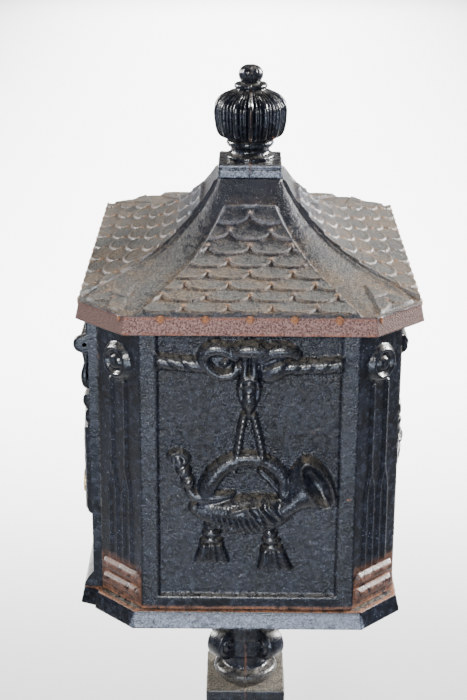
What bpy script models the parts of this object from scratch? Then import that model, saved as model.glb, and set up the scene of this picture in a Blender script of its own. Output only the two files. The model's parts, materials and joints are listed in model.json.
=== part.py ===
"""A cast-iron pedestal post box, about 1.2 m tall.

The frame's origin is on the column's axis at the ground, +Z is up, and the front, with the
letter slot and the collection door, faces -Y. Lengths are in metres.
"""

import math

import bmesh
import bpy
from mathutils import Matrix, Vector

MM = 0.001
GAP = 0.3 * MM  # clearance between neighbouring pieces

# ------------------------------------------------------------------ driving dimensions
EAVE_TOP = 1025 * MM  # height of the roof's lower edge, the datum for everything above the column
ROOF_HALF = (199.4 * MM, 146.8 * MM)  # half sizes at the eave, along X and Y
ROOF_CHAMFER = 41.3 * MM
ROOF_RISE = 75.3 * MM
PLATEAU_HALF = 30 * MM
PLATEAU_CHAMFER = 3 * MM
FASCIA_HEIGHT = 16.7 * MM
FASCIA_FLARE = 3.2 * MM
ROOF_WALL = 5 * MM
ROOF_SEAT = EAVE_TOP - 11.7 * MM  # the flat underside that sits on the four walls

BODY_HALF = (184 * MM, 133.5 * MM)
BODY_CHAMFER = 39.5 * MM
WALL = 7 * MM
PANEL_WALL = 6 * MM  # the thinner front and back panels
FLOOR_TOP = EAVE_TOP - 283.7 * MM
FLANGE_HALF = (190 * MM, 139 * MM)
FLANGE_CHAMFER = 36 * MM
FLANGE_HEIGHT = 17.1 * MM
FLANGE_FLARE = 1.5 * MM
FLANGE_RIM = 8 * MM
FLOOR_THICK = 6 * MM
SILL_HALF = 143 * MM
SILL_REACH = 13.5 * MM
SILL_SLOPE = 6 * MM  # how far the sill's ends spread towards the flange

FIELD_HALF = 78.7 * MM  # recessed field on a side panel
FIELD_BOTTOM = EAVE_TOP - 271 * MM
FIELD_TOP = EAVE_TOP - 20 * MM
FIELD_DEPTH = 3.5 * MM
BACK_FIELD_HALF = 126 * MM

PILASTER_HALF = 22 * MM
ROSETTE_CENTRE = EAVE_TOP - 53 * MM
ROSETTE_RADIUS = 16.5 * MM

FRAME_FRONT = -BODY_HALF[1] - 8 * MM  # Y of the front plate, which stands proud of the corners
FRAME_BACK = FRAME_FRONT + PANEL_WALL
FRAME_PLATE_HALF = 143 * MM
FRAME_PLATE_HIGH = EAVE_TOP - 17.2 * MM
FRAME_RIM = 16 * MM

SLOT_HALF = 108 * MM
SLOT_LOW = EAVE_TOP - 98 * MM
SLOT_HIGH = EAVE_TOP - 61 * MM
HOOD_HALF = 120.5 * MM
CHEEK_THICK = 7 * MM
FLAP_HALF = 111 * MM
FLAP_PIVOT = (-146.8 * MM, EAVE_TOP - 54.5 * MM)  # Y and Z of the flap's axis
FLAP_PIN_RADIUS = 2 * MM
HOOD_SCREW_X = 60 * MM
HOOD_SCREW_Z = EAVE_TOP - 38.5 * MM

DOOR_HALF = 110 * MM
DOOR_LOW = EAVE_TOP - 226 * MM
DOOR_HIGH = EAVE_TOP - 104 * MM
DOOR_PROUD = 8 * MM
DOOR_SKIN = 6.2 * MM
DOOR_RECESS = 2.5 * MM
DOOR_RIM = 7 * MM
DOORWAY_HALF = 100 * MM
DOORWAY_LOW = EAVE_TOP - 219 * MM
DOORWAY_HIGH = EAVE_TOP - 112 * MM
HINGE_AXIS = (-121 * MM, -147.5 * MM)  # X and Y of the door's hinge axis
HINGE_RADIUS = 5 * MM
HINGE_PIN_RADIUS = 2.2 * MM
LUG_HEIGHT = 7 * MM
LOCK_CENTRE = (84 * MM, EAVE_TOP - 203 * MM)  # X and Z of the lock's axis
LOCK_RADIUS = 8 * MM
CAM_REACH = 21 * MM

CORNER_ROD = (148 * MM, 98 * MM)
CORNER_ROD_RADIUS = 4 * MM
CORNER_BOSS_RADIUS = 9 * MM
NUT_RADIUS = 7.5 * MM
NUT_HEIGHT = 6.5 * MM
TIE_ROD_RADIUS = 6 * MM

CAPITAL_TOP = FLOOR_TOP - FLOOR_THICK - GAP
BLOCK_HALF = 40 * MM
BLOCK_TOP = EAVE_TOP - 458.2 * MM
BLOCK_BOTTOM = BLOCK_TOP - 82 * MM
SHAFT_BOTTOM = 150 * MM
GROUND_PLATE_HALF = 119 * MM
GROUND_PLATE_THICK = 8 * MM
ANCHOR_HOLE = (101 * MM, 6 * MM)  # distance from each axis, and radius

FINIAL_HALF = 29.1 * MM
FINIAL_BASE_HEIGHT = 12.3 * MM

ROUND_STEPS = 24
FINE_STEPS = 16

IRON_BLACK = ((0.022, 0.024, 0.030), 0.38, 0.55)
IRON_DUSTY = ((0.150, 0.128, 0.106), 0.78, 0.20)
STEEL = ((0.300, 0.290, 0.280), 0.45, 0.90)
BRASS = ((0.520, 0.380, 0.150), 0.35, 0.95)


# ------------------------------------------------------------------ scene and materials
def clear_scene():
    for thing in list(bpy.data.objects):
        bpy.data.objects.remove(thing)


def new_collection(name):
    group = bpy.data.collections.new(name)
    bpy.context.scene.collection.children.link(group)
    return group


def new_material(name, finish):
    colour, roughness, metallic = finish
    made = bpy.data.materials.new(name)
    made.use_nodes = True
    shader = made.node_tree.nodes["Principled BSDF"]
    shader.inputs["Base Color"].default_value = (*colour, 1)
    shader.inputs["Roughness"].default_value = roughness
    shader.inputs["Metallic"].default_value = metallic
    return made


clear_scene()
PARTS = new_collection("pedestal_post_box")
CUTTERS = new_collection("cutters")


def move_to(thing, group):
    for old in list(thing.users_collection):
        old.objects.unlink(thing)
    group.objects.link(thing)


def piece(name, thing, finish, smooth=True):
    """Names a finished piece, gives it its own material and puts it among the parts."""
    thing.name = name
    thing.data.materials.clear()
    thing.data.materials.append(new_material(name + "_finish", finish))
    if smooth:
        thing.data.shade_smooth()
        thing.data.set_sharp_from_angle(angle=math.radians(35))
    move_to(thing, PARTS)
    return thing


def tool(thing):
    """Hides a shape that only cuts or joins another one."""
    thing.hide_render = True
    thing.display_type = "WIRE"
    move_to(thing, CUTTERS)
    return thing


def combine(target, operation, *shapes):
    for shape in shapes:
        tool(shape)
        step = target.modifiers.new(operation.lower(), "BOOLEAN")
        step.operation = operation
        step.object = shape
        step.solver = "EXACT"
    return target


def join_group(target, shapes):
    """Joins many shapes, which may also cross each other, in one step."""
    group = bpy.data.collections.new("joined_shapes")
    CUTTERS.children.link(group)
    for shape in shapes:
        tool(shape)
        move_to(shape, group)
    step = target.modifiers.new("union", "BOOLEAN")
    step.operation = "UNION"
    step.operand_type = "COLLECTION"
    step.collection = group
    step.solver = "EXACT"
    return target


def cut(target, *shapes):
    return combine(target, "DIFFERENCE", *shapes)


def join(target, *shapes):
    return combine(target, "UNION", *shapes)


def set_origin(thing, point):
    """Moves a piece's origin to a point on its joint's axis and leaves its mesh in place."""
    shift = Vector(point)
    thing.data.transform(Matrix.Translation(-shift))
    thing.location = shift
    return thing


# ------------------------------------------------------------------ basic shapes
def from_bmesh(name, shape):
    bmesh.ops.recalc_face_normals(shape, faces=shape.faces)
    mesh = bpy.data.meshes.new(name)
    shape.to_mesh(mesh)
    shape.free()
    made = bpy.data.objects.new(name, mesh)
    PARTS.objects.link(made)
    return made


def box(low, high, turn=None):
    """A box between two corners; turn places it in another frame."""
    shape = bmesh.new()
    size = [b - a for a, b in zip(low, high)]
    centre = [(a + b) / 2 for a, b in zip(low, high)]
    place = Matrix.Translation(centre) @ Matrix.Diagonal((*size, 1))
    bmesh.ops.create_cube(shape, size=1, matrix=(turn or Matrix()) @ place)
    return from_bmesh("box", shape)


def cylinder(start, end, radius, end_radius=None, sides=FINE_STEPS, frame=None):
    """A round bar, or a cone, from one point to another, in a frame that may also flatten it."""
    start, end = Vector(start), Vector(end)
    run = end - start
    place = Matrix.Translation((start + end) / 2) @ run.to_track_quat("Z", "Y").to_matrix().to_4x4()
    shape = bmesh.new()
    bmesh.ops.create_cone(
        shape,
        cap_ends=True,
        segments=sides,
        radius1=radius,
        radius2=radius if end_radius is None else end_radius,
        depth=run.length,
        matrix=(frame or Matrix()) @ place,
    )
    return from_bmesh("cylinder", shape)


def ellipsoid(centre, radii, turn=None, sides=12):
    shape = bmesh.new()
    place = Matrix.Translation(centre) @ (turn or Matrix()) @ Matrix.Diagonal((*radii, 1))
    bmesh.ops.create_uvsphere(shape, u_segments=sides, v_segments=sides // 2, radius=1, matrix=place)
    return from_bmesh("ellipsoid", shape)


def turned(profile, steps=ROUND_STEPS, place=None):
    """A turned shape: a profile of (radius, height) points run round the Z axis.

    The profile starts and ends on the axis, or closes on itself for a ring.
    """
    mesh = bpy.data.meshes.new("turned")
    points = [(radius, 0, height) for radius, height in profile]
    edges = [(i, i + 1) for i in range(len(points) - 1)]
    if profile[0][0] > 0:
        edges.append((len(points) - 1, 0))
    mesh.from_pydata(points, edges, [])
    made = bpy.data.objects.new("turned", mesh)
    PARTS.objects.link(made)
    screw = made.modifiers.new("turn", "SCREW")
    screw.steps = steps
    screw.render_steps = steps
    screw.use_merge_vertices = True
    screw.merge_threshold = 0.00005
    return as_mesh(made, place)


def as_mesh(thing, place=None):
    """Turns a curve, or an object with modifiers, into a plain closed mesh object."""
    bpy.context.view_layer.update()
    evaluated = thing.evaluated_get(bpy.context.evaluated_depsgraph_get())
    mesh = bpy.data.meshes.new_from_object(evaluated)
    mesh.transform((place or Matrix()) @ thing.matrix_world)
    shape = bmesh.new()
    shape.from_mesh(mesh)
    bmesh.ops.remove_doubles(shape, verts=shape.verts, dist=0.00001)
    bpy.data.objects.remove(thing)
    return from_bmesh("mesh", shape)


def slab(outline, low, high, place=None):
    """A flat outline in X and Y, filled and made thick from one height to another."""
    curve = bpy.data.curves.new("outline", "CURVE")
    curve.dimensions = "2D"
    curve.fill_mode = "BOTH"
    curve.extrude = (high - low) / 2
    spline = curve.splines.new("POLY")
    spline.points.add(len(outline) - 1)
    for point, (x, y) in zip(spline.points, outline):
        point.co = (x, y, 0, 1)
    spline.use_cyclic_u = True
    made = bpy.data.objects.new("outline", curve)
    PARTS.objects.link(made)
    made.location.z = (low + high) / 2
    return as_mesh(made, place)


def octagon(half_x, half_y, chamfer, height):
    """Corners of a rectangle with 45-degree chamfers, anticlockwise from above."""
    x, y, c = half_x, half_y, chamfer
    quarter = [(x, y - c), (x - c, y)]
    corners = quarter + [(-a, b) for a, b in reversed(quarter)]
    corners += [(-a, -b) for a, b in corners]
    return [(a, b, height) for a, b in corners]


def loft(rings):
    """A closed body through rings with the same number of corners, capped at both ends."""
    shape = bmesh.new()
    loops = [[shape.verts.new(corner) for corner in ring] for ring in rings]
    shape.faces.new(loops[0])
    shape.faces.new(loops[-1])
    for one, two in zip(loops, loops[1:]):
        for i, corner in enumerate(one):
            following = (i + 1) % len(one)
            shape.faces.new((corner, one[following], two[following], two[i]))
    return from_bmesh("loft", shape)


def hex_nut(centre, radius, height, hole):
    """A hexagon nut whose axis is vertical, standing on its centre point."""
    low, top = Vector(centre), Vector(centre) + Vector((0, 0, height))
    nut = cylinder(low, top, radius, sides=6)
    over = Vector((0, 0, MM))
    return cut(nut, cylinder(low - over, top + over, hole))


def corners_of(point):
    """The four places of a point that repeats in each quarter of the plan."""
    return [(sx * point[0], sy * point[1]) for sx, sy in ((1, 1), (-1, 1), (-1, -1), (1, -1))]


def facing(quarter_turns, distance=0.0):
    """The frame of a wall: x to the viewer's right, y up from the eave's top, z outwards.

    0 quarter turns is the front wall, and each one more goes anticlockwise seen from above.
    """
    turn = Matrix.Rotation(math.radians(90 * quarter_turns), 4, "Z")
    upright = Matrix(((1, 0, 0, 0), (0, 0, -1, -distance), (0, 1, 0, EAVE_TOP), (0, 0, 0, 1)))
    return turn @ upright


# ------------------------------------------------------------------ post-horn ornament
def ornament_points(place, scale, drop):
    """Returns a function from millimetres in the ornament's own frame to a place on the wall."""

    def at(right, up, out):
        return place @ Vector((right * scale * MM, (up * scale + drop) * MM, out * scale * MM))

    return at


def horn_shapes(place, scale=1.0, drop=0.0):
    """The horn: its ring, wrapped belly, bell and mouthpiece."""
    at = ornament_points(place, scale, drop)
    unit = scale * MM
    flat = place.to_3x3().to_4x4()
    ring = [(35, 1), (32, 6), (27, 8), (23, 6), (20, 1), (23, -2), (32, -2)]
    profile = [(radius * unit, height * unit) for radius, height in ring]
    shapes = [turned(profile, 18, Matrix.Translation(at(-1, -165, 0)) @ flat)]
    shapes.append(ellipsoid(at(-5, -193, 2), (37 * unit, 15 * unit, 12 * unit), flat))
    flattened = place @ Matrix.Diagonal((1, 1, 0.45, 1))
    own = ornament_points(Matrix(), scale, drop)
    shapes.append(cylinder(own(22, -193, 7), own(60, -159, 9), 8 * unit, 29 * unit, 16, flattened))
    shapes.append(cylinder(at(-44, -183, 2), at(-57, -150, 3), 6 * unit, 5 * unit, 10))
    shapes.append(cylinder(at(-57, -151, 3), at(-60, -130, 4), 5 * unit, 8.5 * unit, 10))
    shapes.append(cylinder(at(-45, -186, 2), at(-24, -190, 2), 6 * unit, 9 * unit, 10))
    return shapes


def tassel_shapes(place, scale=1.0, drop=0.0):
    """The two cords that the horn hangs from, and the two tassels below it."""
    at = ornament_points(place, scale, drop)
    unit = scale * MM
    return [
        cylinder(at(-4, -88, 1), at(-13, -150, 1), 3 * unit, None, 8),
        cylinder(at(4, -88, 1), at(15, -148, 1), 3 * unit, None, 8),
        cylinder(at(-30, -200, 2), at(-34, -240, 2), 6 * unit, 11 * unit, 10),
        cylinder(at(17, -204, 2), at(25, -245, 2), 6 * unit, 13 * unit, 10),
    ]


def bow_shapes(place, scale=1.0, drop=0.0, bar_end=79.0):
    """The rope bar, the bow tied on it and the drop that hangs from the bow."""
    at = ornament_points(place, scale, drop)
    unit = scale * MM
    flat = place.to_3x3().to_4x4()
    shapes = [
        cylinder(at(-bar_end, -44, 1), at(-10, -51, 1), 6.5 * unit, None, 10),
        cylinder(at(bar_end, -47, 1), at(10, -51, 1), 6.5 * unit, None, 10),
        ellipsoid(at(-25, -48, 1), (16 * unit, 16 * unit, 9 * unit), flat),
        ellipsoid(at(24, -50, 1), (16 * unit, 16 * unit, 9 * unit), flat),
        ellipsoid(at(0, -35, 1), (17 * unit, 9 * unit, 9 * unit), flat),
        ellipsoid(at(0, -80, 1), (9.5 * unit, 19 * unit, 9 * unit), flat),
    ]
    return shapes


# ------------------------------------------------------------------ pedestal
def make_ground_plate():
    half = GROUND_PLATE_HALF
    plate = box((-half, -half, 0), (half, half, GROUND_PLATE_THICK))
    boss_top = GROUND_PLATE_THICK + 18 * MM
    join(plate, cylinder((0, 0, 2 * MM), (0, 0, boss_top), 18 * MM))
    cut(plate, cylinder((0, 0, 4 * MM), (0, 0, boss_top + MM), TIE_ROD_RADIUS + GAP))
    reach, radius = ANCHOR_HOLE
    for x, y in corners_of((reach, reach)):
        cut(plate, cylinder((x, y, -MM), (x, y, GROUND_PLATE_THICK + MM), radius))
    return piece("ground_plate", plate, IRON_BLACK)


def square_ring(half, height, chamfer=4 * MM):
    return octagon(half, half, chamfer, height)


def make_column_foot():
    low = GROUND_PLATE_THICK + GAP
    outside = [(40, 150), (46, 143), (46, 118), (52, 104), (64, 84), (82, 62), (90, 54)]
    outside += [(90, 24), (118, 21)]
    inside = [(80, 40), (62, 56), (46, 80), (36, 104), (30, 134)]
    rings = [square_ring(half * MM, height * MM) for half, height in outside]
    rings += [square_ring(118 * MM, low), square_ring(84 * MM, low)]
    rings += [square_ring(half * MM, height * MM) for half, height in inside]
    foot = loft(rings)
    cut(foot, cylinder((0, 0, 120 * MM), (0, 0, 160 * MM), TIE_ROD_RADIUS + MM))
    reach, radius = ANCHOR_HOLE
    for x, y in corners_of((reach, reach)):
        cut(foot, cylinder((x, y, 0), (x, y, 30 * MM), radius))
    return piece("column_foot", foot, IRON_BLACK)


def make_column_shaft():
    low, high = SHAFT_BOTTOM + GAP, BLOCK_BOTTOM - GAP
    bore = TIE_ROD_RADIUS + 17 * MM
    upper = [(38, 0), (40, 6), (37, 12), (30, 15), (28, 24)]
    lower = [(31, 56), (35, 44), (42, 36), (42, 28), (37, 24), (44, 16), (44, 0)]
    profile = [(radius * MM, high - drop * MM) for radius, drop in upper]
    profile += [(radius * MM, low + rise * MM) for radius, rise in lower]
    profile += [(bore, low), (bore, high)]
    return piece("column_shaft", turned(profile), IRON_BLACK)


def make_column_capital():
    """Top flange, neck, drum with four corner volutes, ring and hollow square block."""
    top = CAPITAL_TOP
    block = BLOCK_TOP
    bore = TIE_ROD_RADIUS + 2 * MM
    under = [(60, 0), (60, 8), (50, 12), (40, 26), (31, 46), (27, 66)]
    above = [(27, 66), (30, 63), (30, 50), (27, 49), (27, 31), (23, 29), (22, 16)]
    above += [(25, 13), (31, 11), (32.7, 7), (31, 2), (28, 0), (28, -6)]
    profile = [(radius * MM, top - drop * MM) for radius, drop in under]
    profile += [(radius * MM, block + rise * MM) for radius, rise in above]
    profile += [(bore, block - 6 * MM), (bore, top)]
    capital = turned(profile)
    volutes = []
    for quarter in range(4):
        turn = Matrix.Rotation(math.radians(45 + 90 * quarter), 4, "Z")
        ends = [turn @ Vector((30 * MM, side * 9 * MM, block + 46 * MM)) for side in (-1, 1)]
        volutes.append(cylinder(*ends, 17 * MM))
    square = box((-BLOCK_HALF, -BLOCK_HALF, BLOCK_BOTTOM), (BLOCK_HALF, BLOCK_HALF, block))
    join_group(capital, volutes + [square])
    hollow = 26 * MM
    cut(
        capital,
        box((-hollow, -hollow, BLOCK_BOTTOM - MM), (hollow, hollow, block - 12 * MM)),
        cylinder((0, 0, block - 20 * MM), (0, 0, top + MM), bore + 0.5 * MM),
    )
    return piece("column_capital", as_mesh(capital), IRON_BLACK)


def make_tie_rod():
    floor = FLOOR_TOP
    rod = cylinder((0, 0, 4 * MM + GAP), (0, 0, floor + 16 * MM), TIE_ROD_RADIUS)
    piece("tie_rod", rod, STEEL)
    washer_low = floor + GAP
    washer_high = washer_low + 3 * MM
    washer = cylinder((0, 0, washer_low), (0, 0, washer_high), 16 * MM, sides=24)
    cut(washer, cylinder((0, 0, floor - MM), (0, 0, washer_high + MM), TIE_ROD_RADIUS + GAP))
    piece("tie_rod_washer", washer, STEEL)
    nut = hex_nut((0, 0, washer_high + GAP), 11 * MM, 10 * MM, TIE_ROD_RADIUS + GAP)
    piece("tie_rod_nut", nut, STEEL)


# ------------------------------------------------------------------ box
def make_box_floor():
    half_x, half_y = FLANGE_HALF
    low = FLOOR_TOP - FLANGE_HEIGHT
    inner = [half - FLANGE_RIM for half in FLANGE_HALF]
    rings = [
        octagon(half_x - FLANGE_FLARE, half_y - FLANGE_FLARE, FLANGE_CHAMFER, FLOOR_TOP),
        octagon(half_x, half_y, FLANGE_CHAMFER, low),
        octagon(*inner, FLANGE_CHAMFER - 2 * MM, low),
        octagon(*inner, FLANGE_CHAMFER - 2 * MM, FLOOR_TOP - FLOOR_THICK),
    ]
    floor = loft(rings)
    back, front = -half_y + 3 * MM, -half_y - SILL_REACH
    spread = SILL_HALF + SILL_SLOPE
    outline = [(spread, back), (-spread, back)]
    outline += [(-SILL_HALF, front), (SILL_HALF, front)]
    join(floor, slab(outline, low, FLOOR_TOP - 1 * MM))
    cut(floor, cylinder((0, 0, low), (0, 0, FLOOR_TOP + MM), TIE_ROD_RADIUS + 0.5 * MM))
    for x, y in corners_of(CORNER_ROD):
        hole = CORNER_ROD_RADIUS + 0.5 * MM
        cut(floor, cylinder((x, y, low), (x, y, FLOOR_TOP + MM), hole))
    return piece("box_floor", floor, IRON_BLACK)


def corner_pilaster_shapes(side):
    """Rosette, flutes and base bands on a chamfered corner of the wall on +X.

    The corner is the one at the back for side 1 and the one at the front for side -1.
    """
    half_x, half_y = BODY_HALF
    middle = Vector((half_x - BODY_CHAMFER / 2, side * (half_y - BODY_CHAMFER / 2), EAVE_TOP))
    turn = Matrix.Rotation(math.radians(90 + side * 45), 4, "Z")
    upright = Matrix(((1, 0, 0, 0), (0, 0, -1, 0), (0, 1, 0, 0), (0, 0, 0, 1)))
    place = Matrix.Translation(middle) @ turn @ upright
    centre_up = ROSETTE_CENTRE - EAVE_TOP
    shapes = [
        cylinder(
            place @ Vector((0, centre_up, -2 * MM)),
            place @ Vector((0, centre_up, 3 * MM)),
            ROSETTE_RADIUS,
            sides=12,
        )
    ]
    for across in (-13.5, -4.5, 4.5, 13.5):
        low = (across * MM - 2 * MM, -247 * MM, -2 * MM)
        high = (across * MM + 2 * MM, -76 * MM, 2.5 * MM)
        shapes.append(box(low, high, place))
    for band in (-254, -268):
        low = (-PILASTER_HALF, (band - 4) * MM, -2 * MM)
        high = (PILASTER_HALF, (band + 3) * MM, 4 * MM)
        shapes.append(box(low, high, place))
    return shapes


def side_wall_outline():
    """Plan of a side wall on +X: the wall and the two chamfered corners cast with it."""
    half_x, half_y = BODY_HALF
    chamfer = BODY_CHAMFER
    slant = WALL * math.sqrt(2)  # the chamfer's thickness measured along X or Y
    inner_x = half_x - WALL
    inner_y = half_x + half_y - chamfer - slant - inner_x
    ends = half_x - chamfer
    quarter = [(half_x, half_y - chamfer), (ends, half_y), (ends, half_y - slant), (inner_x, inner_y)]
    return quarter + [(x, -y) for x, y in reversed(quarter)]


def make_side_panel(name, quarter_turns):
    """A side wall with its field, relief and pilasters; quarter_turns is 1 for +X and 3 for -X."""
    wall = slab(side_wall_outline(), FLOOR_TOP + GAP, ROOF_SEAT - GAP)
    outside = BODY_HALF[0]
    low = (outside - FIELD_DEPTH, -FIELD_HALF, FIELD_BOTTOM)
    cut(wall, box(low, (outside + MM, FIELD_HALF, FIELD_TOP)))
    place = facing(1, outside - FIELD_DEPTH)
    shapes = horn_shapes(place) + tassel_shapes(place) + bow_shapes(place)
    shapes += corner_pilaster_shapes(1) + corner_pilaster_shapes(-1)
    join_group(wall, shapes)
    inside = outside - WALL
    reach = BODY_HALF[1] - BODY_CHAMFER - 6 * MM
    cut(wall, box((inside - 30 * MM, -reach, FLOOR_TOP), (inside, reach, EAVE_TOP)))
    solid = as_mesh(wall, Matrix.Rotation(math.radians(90 * (quarter_turns - 1)), 4, "Z"))
    return piece(name, solid, IRON_BLACK)


def make_back_panel():
    half_x = BODY_HALF[0] - BODY_CHAMFER - GAP
    outside = BODY_HALF[1]
    panel = box(
        (-half_x, outside - PANEL_WALL, FLOOR_TOP + GAP),
        (half_x, outside, ROOF_SEAT - GAP),
    )
    depth = 2.5 * MM
    low = (-BACK_FIELD_HALF, outside - depth, FIELD_BOTTOM)
    cut(panel, box(low, (BACK_FIELD_HALF, outside + MM, FIELD_TOP)))
    place = facing(2, outside - depth)
    shapes = horn_shapes(place, 1.25, 40.6) + tassel_shapes(place, 1.25, 40.6)
    join_group(panel, shapes + bow_shapes(place, 1.25, 8, 99))
    inside = outside - PANEL_WALL
    cut(panel, box((-half_x - MM, inside - 30 * MM, FLOOR_TOP), (half_x + MM, inside, EAVE_TOP)))
    return piece("back_panel", as_mesh(panel), IRON_BLACK)


def make_front_frame():
    """A plate in front of the side walls' edges, with a rounded base moulding.

    The lip at its back fits between the walls.
    """
    half_x = BODY_HALF[0] - BODY_CHAMFER - GAP
    lip_front, lip_back = -BODY_HALF[1] + GAP, -BODY_HALF[1] + PANEL_WALL
    low = FLOOR_TOP + GAP
    frame = box((-half_x, lip_front, low), (half_x, lip_back, ROOF_SEAT - GAP))
    plate_back = -BODY_HALF[1] - GAP
    plate_high = FRAME_PLATE_HIGH
    join(frame, box((-FRAME_PLATE_HALF, FRAME_FRONT, low), (FRAME_PLATE_HALF, plate_back, plate_high)))
    inner = half_x - FRAME_RIM
    join(frame, box((-half_x + MM, plate_back - MM, low), (half_x - MM, lip_front + MM, plate_high)))
    base = [(-137, -266), (-141.6, -268), (-143.4, -270.2), (-145.6, -273), (-147.6, -275.8)]
    base += [(-149.2, -278.6), (-150.1, -281), (-150.3, -283.4), (-137, -283.4)]
    base = [(y * MM, EAVE_TOP + z * MM) for y, z in base]
    join(frame, slab(base, -FRAME_PLATE_HALF, FRAME_PLATE_HALF, along_x()))
    pocket_low, pocket_high = low + FRAME_RIM, ROOF_SEAT - FRAME_RIM
    over = 2 * MM
    cut(
        frame,
        box((-inner, FRAME_BACK, pocket_low), (inner, lip_back + over, pocket_high)),
        box((-SLOT_HALF, FRAME_FRONT - over, SLOT_LOW), (SLOT_HALF, lip_back + over, SLOT_HIGH)),
        box(
            (-DOORWAY_HALF, FRAME_FRONT - over, DOORWAY_LOW),
            (DOORWAY_HALF, lip_back + over, DOORWAY_HIGH),
        ),
    )
    x, y = HINGE_AXIS
    for low, high in hinge_lug_heights():
        join(
            frame,
            cylinder((x, y, low), (x, y, high), HINGE_RADIUS),
            box((x - HINGE_RADIUS, y, low), (x + HINGE_RADIUS, FRAME_FRONT + MM, high)),
        )
        cut(frame, cylinder((x, y, low - MM), (x, y, high + MM), HINGE_PIN_RADIUS + GAP))
    hole = 2.9 * MM
    for side in (-1, 1):
        start = (side * HOOD_SCREW_X, FRAME_FRONT - over, HOOD_SCREW_Z)
        cut(frame, cylinder(start, (start[0], FRAME_BACK + over, start[2]), hole))
    return piece("front_frame", frame, IRON_BLACK)


def hinge_lug_heights():
    """Lowest and highest Z of the lug below the door and of the lug above it."""
    play = 0.5 * MM
    below = (DOOR_LOW - play - LUG_HEIGHT, DOOR_LOW - play)
    above = (DOOR_HIGH + play, DOOR_HIGH + play + LUG_HEIGHT)
    return below, above


# ------------------------------------------------------------------ letter slot
def make_slot_hood():
    """A rain strip over the slot, with a rounded ear at each end that holds the flap's pin."""
    back = FRAME_FRONT - GAP
    section = [(back, -32), (-145.4, -32), (-145.8, -33), (-145.8, -43.6), (-149, -44.6)]
    section += [(-150.4, -46), (-149.6, -47.6), (-146, -48.4), (back, -48.4)]
    outline = [(y if y == back else y * MM, EAVE_TOP + z * MM) for y, z in section]
    hood = slab(outline, -HOOD_HALF, HOOD_HALF, along_x())
    ear = [(back, -44), (-149, -46), (-153, -47.4), (-156, -50.4), (-157, -54.5)]
    ear += [(-156, -58.6), (-153, -61.6), (-149, -63), (back, -64.5)]
    ear_outline = [(y if y == back else y * MM, EAVE_TOP + z * MM) for y, z in ear]
    for low, high in ((-HOOD_HALF, -HOOD_HALF + CHEEK_THICK), (HOOD_HALF - CHEEK_THICK, HOOD_HALF)):
        join(hood, slab(ear_outline, low, high, along_x()))
    y, z = FLAP_PIVOT
    over = HOOD_HALF + MM
    boss = 5.5 * MM
    for side in (-1, 1):
        start = (side * HOOD_SCREW_X, back, HOOD_SCREW_Z)
        join(hood, cylinder(start, (start[0], back - 8 * MM, start[2]), boss, sides=12))
        cut(hood, cylinder((start[0], back + MM, start[2]), (start[0], back - 6 * MM, start[2]), 2.5 * MM + GAP))
    cut(hood, cylinder((-over, y, z), (over, y, z), FLAP_PIN_RADIUS + GAP, sides=16))
    return piece("slot_hood", hood, IRON_BLACK)


def along_x():
    """Turns a slab's outline from X and Y to Y and Z, with its thickness along X."""
    return Matrix(((0, 0, 1, 0), (1, 0, 0, 0), (0, 1, 0, 0), (0, 0, 0, 1)))


def make_slot_flap():
    """The hanging flap: a barrel round the pin and a bulged plate with a rolled lower lip.

    It hangs in front of the slot, overlaps its ends and is lifted outwards.
    """
    y, z = FLAP_PIVOT
    outer = [(-4.2, -2), (-4.2, -12), (-2.8, -17), (-2.2, -21.5), (-3.6, -26), (-5.4, -33.5)]
    outer += [(-4.8, -40), (-2.4, -45), (0.8, -46.3)]
    inner = [(3.2, -45), (3.6, -41), (1.0, -33.5), (1.8, -27), (2.6, -21.5), (2.4, -12), (3.4, -2)]
    outline = [(y + dy * MM, z + dz * MM) for dy, dz in outer + inner]
    flap = slab(outline, -FLAP_HALF, FLAP_HALF, along_x())
    join(flap, cylinder((-FLAP_HALF, y, z), (FLAP_HALF, y, z), 4.5 * MM, sides=16))
    over = FLAP_HALF + MM
    cut(flap, cylinder((-over, y, z), (over, y, z), FLAP_PIN_RADIUS + GAP, sides=16))
    flap = as_mesh(flap)
    piece("slot_flap", flap, IRON_BLACK)
    set_origin(flap, (0, y, z))
    pin = cylinder((-HOOD_HALF, y, z), (HOOD_HALF, y, z), FLAP_PIN_RADIUS, sides=16)
    piece("flap_pin", pin, STEEL)


def make_hood_screws():
    inside = FRAME_BACK
    for name, side in (("hood_screw_left", -1), ("hood_screw_right", 1)):
        x, z = side * HOOD_SCREW_X, HOOD_SCREW_Z
        screw = cylinder((x, inside + GAP, z), (x, inside + 4 * MM, z), 5 * MM)
        join(screw, cylinder((x, inside + MM, z), (x, inside - 11.5 * MM, z), 2.5 * MM))
        slot_low = (x - 6 * MM, inside + 3 * MM, z - 0.6 * MM)
        cut(screw, box(slot_low, (x + 6 * MM, inside + 5 * MM, z + 0.6 * MM)))
        piece(name, screw, STEEL)


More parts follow.
